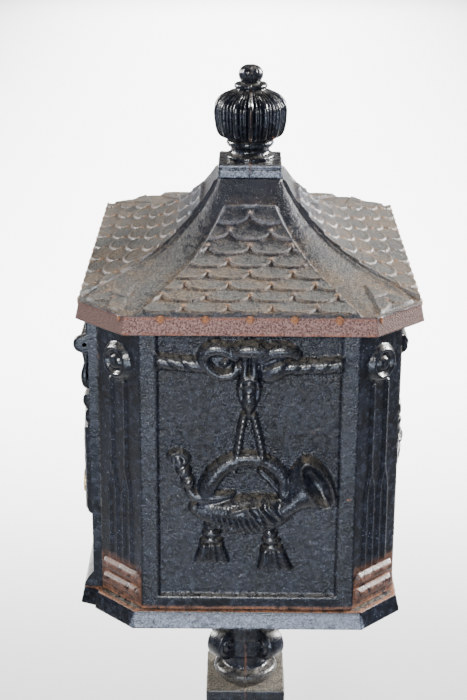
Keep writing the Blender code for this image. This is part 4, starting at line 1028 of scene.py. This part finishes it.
def along_x_solid(shell, section, half, step, relief, seed):
    """A section of (y, z) points run along X, rounded at both ends, with a relief on its outside."""
    ends = half - np.array([0, 0.4, 1.2])
    x_lines = np.concatenate([-ends, lines(-half + 2.4, (half - 2.4, step)), ends[::-1]])
    shrink = np.interp(abs(x_lines), [half - 2.4, half - 1.2, half - 0.4, half], [0, 0.25, 0.8, 1.5])
    section = np.array(section, float)
    back, fore = np.roll(section, 1, axis=0), np.roll(section, -1, axis=0)
    tangent = fore - back
    normal = np.stack([tangent[:, 1], -tangent[:, 0]], -1)
    normal /= np.linalg.norm(normal, axis=1, keepdims=True) + 1e-9
    area = (section[:, 0] * fore[:, 1] - fore[:, 0] * section[:, 1]).sum()
    normal *= 1 if area > 0 else -1
    x = np.repeat(x_lines[:, None], len(section), 1)
    lengths = np.concatenate([[0], np.cumsum(np.linalg.norm(np.diff(section, axis=0), axis=1))])
    around = np.repeat(lengths[None], len(x_lines), 0)
    out = relief(x, around) - shrink[:, None]
    out = out + 0.7 * casting(x, around, seed, 0.3) * (abs(x) < half - 1)
    y = section[None, :, 0] + normal[None, :, 0] * out
    z = section[None, :, 1] + normal[None, :, 1] * out
    rings = np.stack([x, y, z], -1)
    shell.loop(rings)


def slot_hood(material):
    back = FRAME_FRONT - GAP
    strip = [(back, -32.2), (-145.0, -32.1), (-145.7, -33), (-145.8, -37), (-145.8, -43.2), (-146.4, -44.2)]
    strip += [(-148.6, -44.6), (-150.0, -45.3), (-150.4, -46.2), (-149.8, -47.4)]
    strip += [(-148, -48.1), (back, -48.3)]
    section = [(a, b + EAVE) for a, b in strip]

    def plain(x, length):
        return -0.25 + 0 * x

    shell = Shell()
    along_x_solid(shell, section, 120.0, 1.2, plain, 81)
    ear = [(-149, -46), (-153.2, -47.6), (-156.0, -50.6), (-157, -54.5), (-156.0, -58.4)]
    ear = curve(ear + [(-153.2, -61.4), (-149, -63)], 4)
    ear_edges = ((113.5, 1.4), (114.0, 0.3), (115.0, 0), (118.6, 0), (119.8, 0.5), (120.4, 1.6), (120.5, 3.2))
    outline = [(back, -44.0), *[tuple(p) for p in ear], (back, -64.3)]
    centre = np.array([-147.5, -54.5])
    for side in (-1, 1):
        rings = []
        for x, inward in ear_edges:
            ring = []
            for y, z in outline:
                away = np.array([y, z]) - centre
                y, z = np.array([y, z]) - away / np.linalg.norm(away) * inward
                ring.append((side * x, min(y, back), z + EAVE))
            rings.append(ring)
        shell.loop(rings)
    for side in (-1, 1):
        profile = [(5.5, 0), (5.5, 5.4), (5.0, 6.8), (3.8, 7.7), (1.6, 8.0)]
        rings = []
        for radius, out in profile:
            angle = 2 * math.pi * np.arange(24) / 24
            across, up = radius * np.cos(angle), radius * np.sin(angle)
            points = [side * 60 + across, np.full(24, back - out), EAVE - 38.5 + up]
            rings.append(np.stack(points, -1))
        shell.loop(rings)
    shell.build("slot_hood_cast", "slot_hood", material, sharp=45)


def slot_flap(material):
    y, z = -146.8, EAVE - 54.5
    outer = [(-4.3, -1), (-4.2, -5), (-4.2, -9), (-3.8, -13), (-2.8, -17), (-2.2, -21.5), (-2.9, -24.6)]
    outer += [(-4.2, -28), (-5.2, -32.4), (-5.3, -37), (-4.6, -41), (-3.0, -44.4), (-1.0, -46), (1.0, -46.3)]
    inner = [(2.6, -45.6), (3.4, -43), (3.0, -39), (1.4, -34), (1.2, -29.5), (2.0, -25.5), (2.5, -20)]
    inner += [(2.4, -13), (2.9, -6), (4.2, -1.4), (4.3, 1), (3.1, 3.2), (1, 4.3), (-1.2, 4.2), (-3.3, 2.9)]
    section = [(y + a, z + b) for a, b in curve(outer + inner, 2)]

    def beads(x, length):
        middle = fade(length, 7, 10) * fade(length, 20, 17)
        return -0.2 - 0.6 * middle * abs(np.sin(x / 12.0 * math.pi)) ** 0.7 * (abs(x) < 108)

    shell = Shell()
    along_x_solid(shell, section, 111.0, 1.2, beads, 85)
    shell.build("slot_flap_cast", "slot_flap", material, body="flap", sharp=45)


# ------------------------------------------------------------------ materials
def add(tree, kind, links=None, **settings):
    """Adds a shader node; links gives its inputs, by name or number, as signals or plain values."""
    node = tree.nodes.new("ShaderNode" + kind)
    for key, value in settings.items():
        setattr(node, key, value)
    for key, value in (links or {}).items():
        plug(tree, node.inputs[key], value)
    return node


def plug(tree, socket, value):
    if isinstance(value, Signal):
        tree.links.new(value.socket, socket)
    else:
        socket.default_value = (*value, 1) if socket.type == "RGBA" else value


class Signal:
    """A number, colour or direction inside a material; sums and products of signals make its nodes."""

    def __init__(self, tree, socket):
        self.tree, self.socket = tree, socket

    def math(self, operation, a, b=0.0):
        node = add(self.tree, "Math", {0: a, 1: b}, operation=operation)
        return Signal(self.tree, node.outputs["Value"])

    def __add__(self, other):
        return self.math("ADD", self, other)

    def __sub__(self, other):
        return self.math("SUBTRACT", self, other)

    def __rsub__(self, other):
        return self.math("SUBTRACT", other, self)

    def __mul__(self, other):
        return self.math("MULTIPLY", self, other)

    def __abs__(self):
        return self.math("ABSOLUTE", self)

    def at_most(self, limit):
        return self.math("MINIMUM", self, limit)

    def at_least(self, limit):
        return self.math("MAXIMUM", self, limit)

    def between(self, a, b):
        """a where the signal is 0 and b where it is 1."""
        return self * (b - a) + a

    def span(self, low, high, to_low=0.0, to_high=1.0):
        """Maps low to to_low and high to to_high, with no values beyond them."""
        links = {"Value": self, "From Min": low, "From Max": high, "To Min": to_low, "To Max": to_high}
        return Signal(self.tree, add(self.tree, "MapRange", links).outputs["Result"])


class Look:
    """A material in the making, and the patterns that it is mixed from."""

    def __init__(self, name):
        self.material = bpy.data.materials.new(name)
        self.material.use_nodes = True
        self.tree = self.material.node_tree
        self.place = self.signal("Object", "TexCoord")
        self.normal = self.signal("Normal", "NewGeometry")

    def signal(self, output, kind, links=None, **settings):
        return Signal(self.tree, add(self.tree, kind, links, **settings).outputs[output])

    def noise(self, scale, detail=3.0, roughness=0.55, stretch=None):
        place = self.place
        if stretch:
            place = self.signal("Vector", "Mapping", {"Vector": place, "Scale": stretch})
        links = {"Vector": place, "Scale": scale, "Detail": detail, "Roughness": roughness}
        return self.signal("Fac", "TexNoise", links)

    def cells(self, scale):
        return self.signal("Distance", "TexVoronoi", {"Vector": self.place, "Scale": scale})

    def field(self, name):
        return self.signal("Fac", "Attribute", attribute_name=name)

    def facing(self, axis):
        return self.signal(axis, "SeparateXYZ", {"Vector": self.normal})

    def mix(self, share, a, b):
        """Colour a where the share is 0 and colour b where it is 1."""
        return self.signal(2, "Mix", {0: share, 6: a, 7: b}, data_type="RGBA", clamp_factor=True)

    def bump(self, height, distance, strength=1.0, under=None):
        links = {"Height": height, "Distance": distance, "Strength": strength}
        if under is not None:
            links["Normal"] = under
        return self.signal("Normal", "Bump", links)

    def finish(self, colour, roughness, normal, metallic=0.0, specular=0.5):
        inputs = self.tree.nodes["Principled BSDF"].inputs
        values = {"Base Color": colour, "Roughness": roughness, "Normal": normal}
        values |= {"Metallic": metallic, "Specular IOR Level": specular}
        for socket, value in values.items():
            plug(self.tree, inputs[socket], value)
        return self.material


def black_iron(name, dust=1.0, rust=1.0, rough=0.30):
    """Glossy black paint on a sand casting, with dust on what faces up and rust in the joints; its colour
    also holds painted glints, painted sheen and painted glare.
    """
    look = Look(name)
    broad, medium, fine = look.noise(38, 4), look.noise(170, 4, 0.6), look.noise(700, 3, 0.6)
    speck, glint_fleck_cells, grain = look.cells(520), look.cells(310), look.field("grain")
    paint = look.mix(broad.span(0.35, 0.65), (0.0022, 0.0025, 0.0038), (0.0060, 0.0074, 0.0130))
    # Painted sheen: mid-size blue patches in the colour stand in for reflections of a bluish light.
    painted_blue_sheen = medium.span(0.50, 0.64) * fine.span(0.46, 0.60)
    paint = look.mix(painted_blue_sheen * 0.40, paint, (0.040, 0.052, 0.090))
    # Painted glints: pale blue specks in the colour stand in for sparkling highlights on the grained field.
    painted_glints = speck.span(0.20, 0.10) * medium.span(0.46, 0.60, 0.15, 1.0) * grain.between(0.12, 0.85)
    paint = look.mix(painted_glints, paint, (0.26, 0.30, 0.42))
    # More painted glints: pale blue flecks in the colour stand in for small highlights, not chipped paint.
    painted_glint_flecks = glint_fleck_cells.span(0.16, 0.08) * broad.span(0.46, 0.60, 0.15, 1.0)
    paint = look.mix(painted_glint_flecks * 0.65, paint, (0.24, 0.27, 0.36))
    worn = look.field("worn") * medium.span(0.40, 0.62, 0.0, 0.6)
    worn += look.field("proud") * fine.span(0.44, 0.62, 0.0, 0.22)
    paint = look.mix(worn.at_most(0.8), paint, (0.16, 0.155, 0.145))
    # Painted glare: the faces marked by this attribute get a pale blue colour that stands in for the bright
    # reflection they catch.
    bloom = look.field("bloom") * medium.span(0.36, 0.60, 0.20, 0.90) * fine.span(0.42, 0.60, 0.10, 1.00)
    paint = look.mix(bloom.at_most(0.92), paint, (0.24, 0.27, 0.35))

    settled = look.facing("Z").span(0.45, 1.0) * medium.span(0.40, 0.60, 0.15, 0.85)
    settled += look.field("dusty") * 0.8
    settled += look.field("hollow") * medium.span(0.54, 0.70, 0.0, 0.16)
    settled *= fine.span(0.38, 0.58, 0.45, 1.15)
    settled = (settled * dust).at_most(0.92).at_least(0.0)
    dust_colour = look.mix(fine.span(0.38, 0.62), (0.050, 0.043, 0.032), (0.215, 0.190, 0.148))
    dust_colour = look.mix(medium.span(0.62, 0.72, 0.0, 0.7), dust_colour, (0.24, 0.125, 0.048))
    colour = look.mix(settled, paint, dust_colour)

    seam = look.field("parting") * broad.span(0.46, 0.60, 0.0, 0.75)
    spots = look.noise(85, 5, 0.65).span(0.70, 0.74) * fine.span(0.4, 0.6)
    rusty = (look.field("rust") + seam) * medium.span(0.34, 0.56, 0.15, 1.0)
    rusty = (rusty + spots * (0.7 * rust)).at_most(0.95)
    rust_colour = look.mix(fine.span(0.36, 0.64), (0.060, 0.020, 0.011), (0.33, 0.135, 0.060))
    colour = look.mix(rusty, colour, rust_colour)

    roughness = medium.span(0.35, 0.65, rough - 0.08, rough + 0.06)
    roughness = rusty.between(settled.between(roughness, 0.72), 0.86)
    normal = look.bump(medium, 0.0012, grain.between(0.18, 0.50))
    normal = look.bump(fine, 0.0007, grain.between(0.22, 0.95), normal)
    normal = look.bump(speck.span(0.0, 0.6), 0.0009, grain.between(0.10, 0.80), normal)
    return look.finish(colour, roughness, normal, 0.0, 0.45)


def tiled_iron(name):
    """Worn paint under grey dust, brown between the tiles and black near the top, on a primed fascia; the
    paint also holds painted glints.
    """
    look = Look(name)
    broad, medium, fine = look.noise(26, 4), look.noise(120, 4, 0.6), look.noise(650, 3, 0.7)
    upper, dots = look.field("upper"), fine.span(0.38, 0.62)
    paint = look.mix(broad.span(0.35, 0.65), (0.0060, 0.0070, 0.0110), (0.018, 0.021, 0.032))
    # Painted glints: pale specks in the colour stand in for sparkling highlights.
    painted_glints = look.cells(330).span(0.18, 0.09) * medium.span(0.44, 0.58, 0.2, 1.0)
    paint = look.mix(painted_glints * 0.7, paint, (0.26, 0.28, 0.34))
    grey = look.mix(dots, (0.018, 0.018, 0.017), (0.105, 0.100, 0.090))
    warm = look.mix(dots, (0.030, 0.022, 0.014), (0.150, 0.108, 0.068))
    settled = look.facing("Z").span(0.55, 0.98, 0.0, 0.85) + medium.span(0.38, 0.62, -0.25, 0.25)
    settled += fine.span(0.40, 0.60, -0.25, 0.20)
    settled = (settled - upper * 0.50).at_most(0.93).at_least(0.06)
    colour = look.mix(settled, paint, look.mix(broad.span(0.44, 0.64), grey, warm))
    valley = look.field("hollow") * medium.span(0.42, 0.62, 0.0, 0.8)
    valley += look.field("knot") * medium.span(0.34, 0.54, 0.1, 0.9)
    valley = (valley * upper.span(0.2, 0.9, 1.0, 0.45)).at_most(0.85)
    colour = look.mix(valley, colour, look.mix(dots, (0.075, 0.034, 0.016), (0.40, 0.185, 0.070)))
    edges = look.field("tile_edge") * fine.span(0.36, 0.60, 0.35, 1.1) * medium.span(0.34, 0.56, 0.40, 1.0)
    edge_light = look.mix(upper, (0.180, 0.112, 0.060), (0.22, 0.24, 0.30))
    colour = look.mix((edges * 0.5).at_most(0.5), colour, edge_light)
    bright = look.field("proud") * fine.span(0.40, 0.60, 0.1, 0.6)
    colour = look.mix(bright, colour, look.mix(upper, (0.13, 0.115, 0.090), (0.21, 0.22, 0.26)))

    primer = look.field("primer")
    red = look.mix(fine.span(0.40, 0.60), (0.050, 0.017, 0.014), (0.27, 0.155, 0.135))
    red = look.mix(look.cells(900).span(0.24, 0.12, 0.0, 0.6), red, (0.36, 0.32, 0.32))
    brim = look.field("brim") * medium.span(0.42, 0.60, 0.1, 0.85)
    red = look.mix(brim, red, (0.30, 0.085, 0.026))
    chamfer = abs(look.facing("X")) * abs(look.facing("Y"))
    red = look.mix(chamfer.span(0.2, 0.45, 0.0, 0.85), red, (0.050, 0.020, 0.015))
    colour = look.mix(primer * 0.96, colour, red)
    knobs = look.field("knob") * medium.span(0.34, 0.5, 0.5, 0.95)
    knob_colour = look.mix(fine.span(0.36, 0.64), (0.11, 0.040, 0.016), (0.36, 0.15, 0.06))
    colour = look.mix(knobs, colour, knob_colour)

    roughness = settled.between(medium.span(0.35, 0.65, 0.26, 0.40), 0.84).at_least(primer * 0.72)
    normal = look.bump(fine, 0.0007, 0.85, look.bump(medium, 0.0014, 0.5))
    normal = look.bump(look.cells(700).span(0.0, 0.5), 0.0006, 0.6, normal)
    return look.finish(colour, roughness, normal, 0.0, 0.40)


def metal(name, dark, light, rough, tarnish):
    """Machined steel or brass with dull patches, fine scratches and grime."""
    look = Look(name)
    fine = look.noise(900, 3, 0.6)
    patch = look.noise(160, 5, 0.65).span(0.50, 0.62) * 0.75
    colour = look.mix(patch, look.mix(look.noise(70, 4).span(0.36, 0.64), dark, light), tarnish)
    roughness = fine.span(0.3, 0.7, rough - 0.08, rough + 0.10) + patch * 0.35
    normal = look.bump(fine, 0.0002, 0.4, look.bump(look.noise(260, 3, 0.6, (1, 1, 14)), 0.0002, 0.4))
    return look.finish(colour, roughness, normal, 0.92, 0.5)


# ------------------------------------------------------------------ the post box
body_iron = black_iron("body_black_iron", dust=0.85, rough=0.27)
finial_iron = black_iron("finial_black_iron", dust=0.45, rust=2.0, rough=0.24)
pedestal_iron = black_iron("pedestal_black_iron", dust=0.5, rust=1.5)
roof_iron = tiled_iron("roof_dusty_iron")
steel = metal("dull_steel", (0.16, 0.155, 0.15), (0.42, 0.41, 0.39), 0.42, (0.12, 0.06, 0.03))
brass = metal("dull_brass", (0.36, 0.24, 0.08), (0.68, 0.50, 0.20), 0.34, (0.10, 0.065, 0.03))

HALF_TURN = Matrix.Rotation(math.pi, 4, "Z")
side_panel("side_panel_right_cast", "side_panel_right", None, body_iron, 11)
side_panel("side_panel_left_cast", "side_panel_left", HALF_TURN, body_iron, 23)
back_panel(body_iron)
door_panel(body_iron)
roof_face("roof_right_cast", None, True, roof_iron, 101)
roof_face("roof_left_cast", HALF_TURN, True, roof_iron, 111)
roof_face("roof_back_cast", Matrix.Rotation(math.pi / 2, 4, "Z"), False, roof_iron, 121)
roof_face("roof_front_cast", Matrix.Rotation(-math.pi / 2, 4, "Z"), False, roof_iron, 131)
roof_eave(roof_iron)
finial(finial_iron)
capital(pedestal_iron)
shaft(pedestal_iron)
foot(pedestal_iron)
box_floor(body_iron)
slot_hood(body_iron)
slot_flap(body_iron)

SLOT_LOOKS = {"steel": steel, "brass": brass, "body_iron": body_iron, "pedestal_iron": pedestal_iron}
for subpart in frame["record"]["subparts"]:
    node = frame["nodes"][subpart["node"]]
    if node.hide_render:
        continue
    node.data.materials.clear()
    node.data.materials.append(SLOT_LOOKS[subpart["material_slot"]])
    if subpart["material_slot"].endswith("iron"):
        bevel = node.modifiers.new("cast_edges", "BEVEL")
        bevel.width, bevel.segments = 1.0 * MM, 2
        bevel.limit_method, bevel.angle_limit = "ANGLE", math.radians(50)
        bevel.use_clamp_overlap = True


# ------------------------------------------------------------------ stage, camera and light
def make_floor():
    mesh = bpy.data.meshes.new("floor")
    reach = 30.0
    corners = [(-reach, -reach, 0), (reach, -reach, 0), (reach, reach, 0), (-reach, reach, 0)]
    mesh.from_pydata(corners, [], [(0, 1, 2, 3)])
    look = Look("pale_floor")
    tone = look.mix(look.noise(2.0, 3), (0.84, 0.84, 0.835), (0.88, 0.88, 0.875))
    mesh.materials.append(look.finish(tone, 0.8, look.bump(look.noise(60, 3), 0.0004, 0.3), 0.0, 0.2))
    floor = bpy.data.objects.new("floor", mesh)
    bpy.context.scene.collection.objects.link(floor)


def make_camera():
    camera = bpy.data.objects.new("camera", bpy.data.cameras.new("camera"))
    bpy.context.scene.collection.objects.link(camera)
    aim = Matrix.Rotation(math.radians(0.227), 3, "Z") @ Matrix.Rotation(math.radians(-19.995), 3, "X")
    aim = aim @ Matrix.Rotation(math.radians(-0.357), 3, "Y")
    aim = Matrix(((0, -1, 0), (1, 0, 0), (0, 0, 1))) @ aim
    right, ahead, up = aim.col[0], aim.col[1], aim.col[2]
    place = Matrix((right, up, -ahead)).transposed().to_4x4()
    place.translation = (1.462856, -0.008597, 1.455135)
    camera.matrix_world = place
    camera.data.lens = 82.49
    camera.data.sensor_width = 36
    camera.data.clip_start, camera.data.clip_end = 0.05, 100
    bpy.context.scene.camera = camera


def lamp(name, place, target, size, power, colour, spread=180):
    data = bpy.data.lights.new(name, "AREA")
    data.shape, data.size, data.size_y = "RECTANGLE", size[0], size[1]
    data.energy, data.color, data.spread = power, colour, math.radians(spread)
    made = bpy.data.objects.new(name, data)
    bpy.context.scene.collection.objects.link(made)
    made.location = place
    made.rotation_mode = "QUATERNION"
    made.rotation_quaternion = (Vector(target) - Vector(place)).to_track_quat("-Z", "Y")
    made.visible_camera = False


def make_lights():
    world = bpy.data.worlds.new("studio")
    world.use_nodes = True
    background = world.node_tree.nodes["Background"]
    background.inputs["Color"].default_value = (0.80, 0.87, 1.0, 1)
    background.inputs["Strength"].default_value = 0.15
    bpy.context.scene.world = world
    lamp("backdrop", (-5.6, 0, 3.0), (-5.6, 0, 0), (8.4, 3.0), 760, (1.0, 1.0, 1.0), 60)
    lamp("key", (2.3, -0.35, 1.95), (0, 0, 0.95), (0.30, 0.30), 8.0, (1.0, 0.99, 0.97), 60)
    lamp("low_front", (2.25, 0.0, 0.62), (0, 0, 0.74), (1.9, 0.36), 4.6, (0.74, 0.84, 1.0), 50)
    lamp("side_left", (-1.0, -2.3, 2.0), (0, 0, 1.02), (0.4, 1.0), 16.0, (1.0, 0.99, 0.96), 50)
    lamp("side_right", (-1.0, 2.3, 2.0), (0, 0, 1.02), (0.5, 1.0), 42, (1.0, 0.99, 0.97), 50)


make_floor()
make_camera()
make_lights()
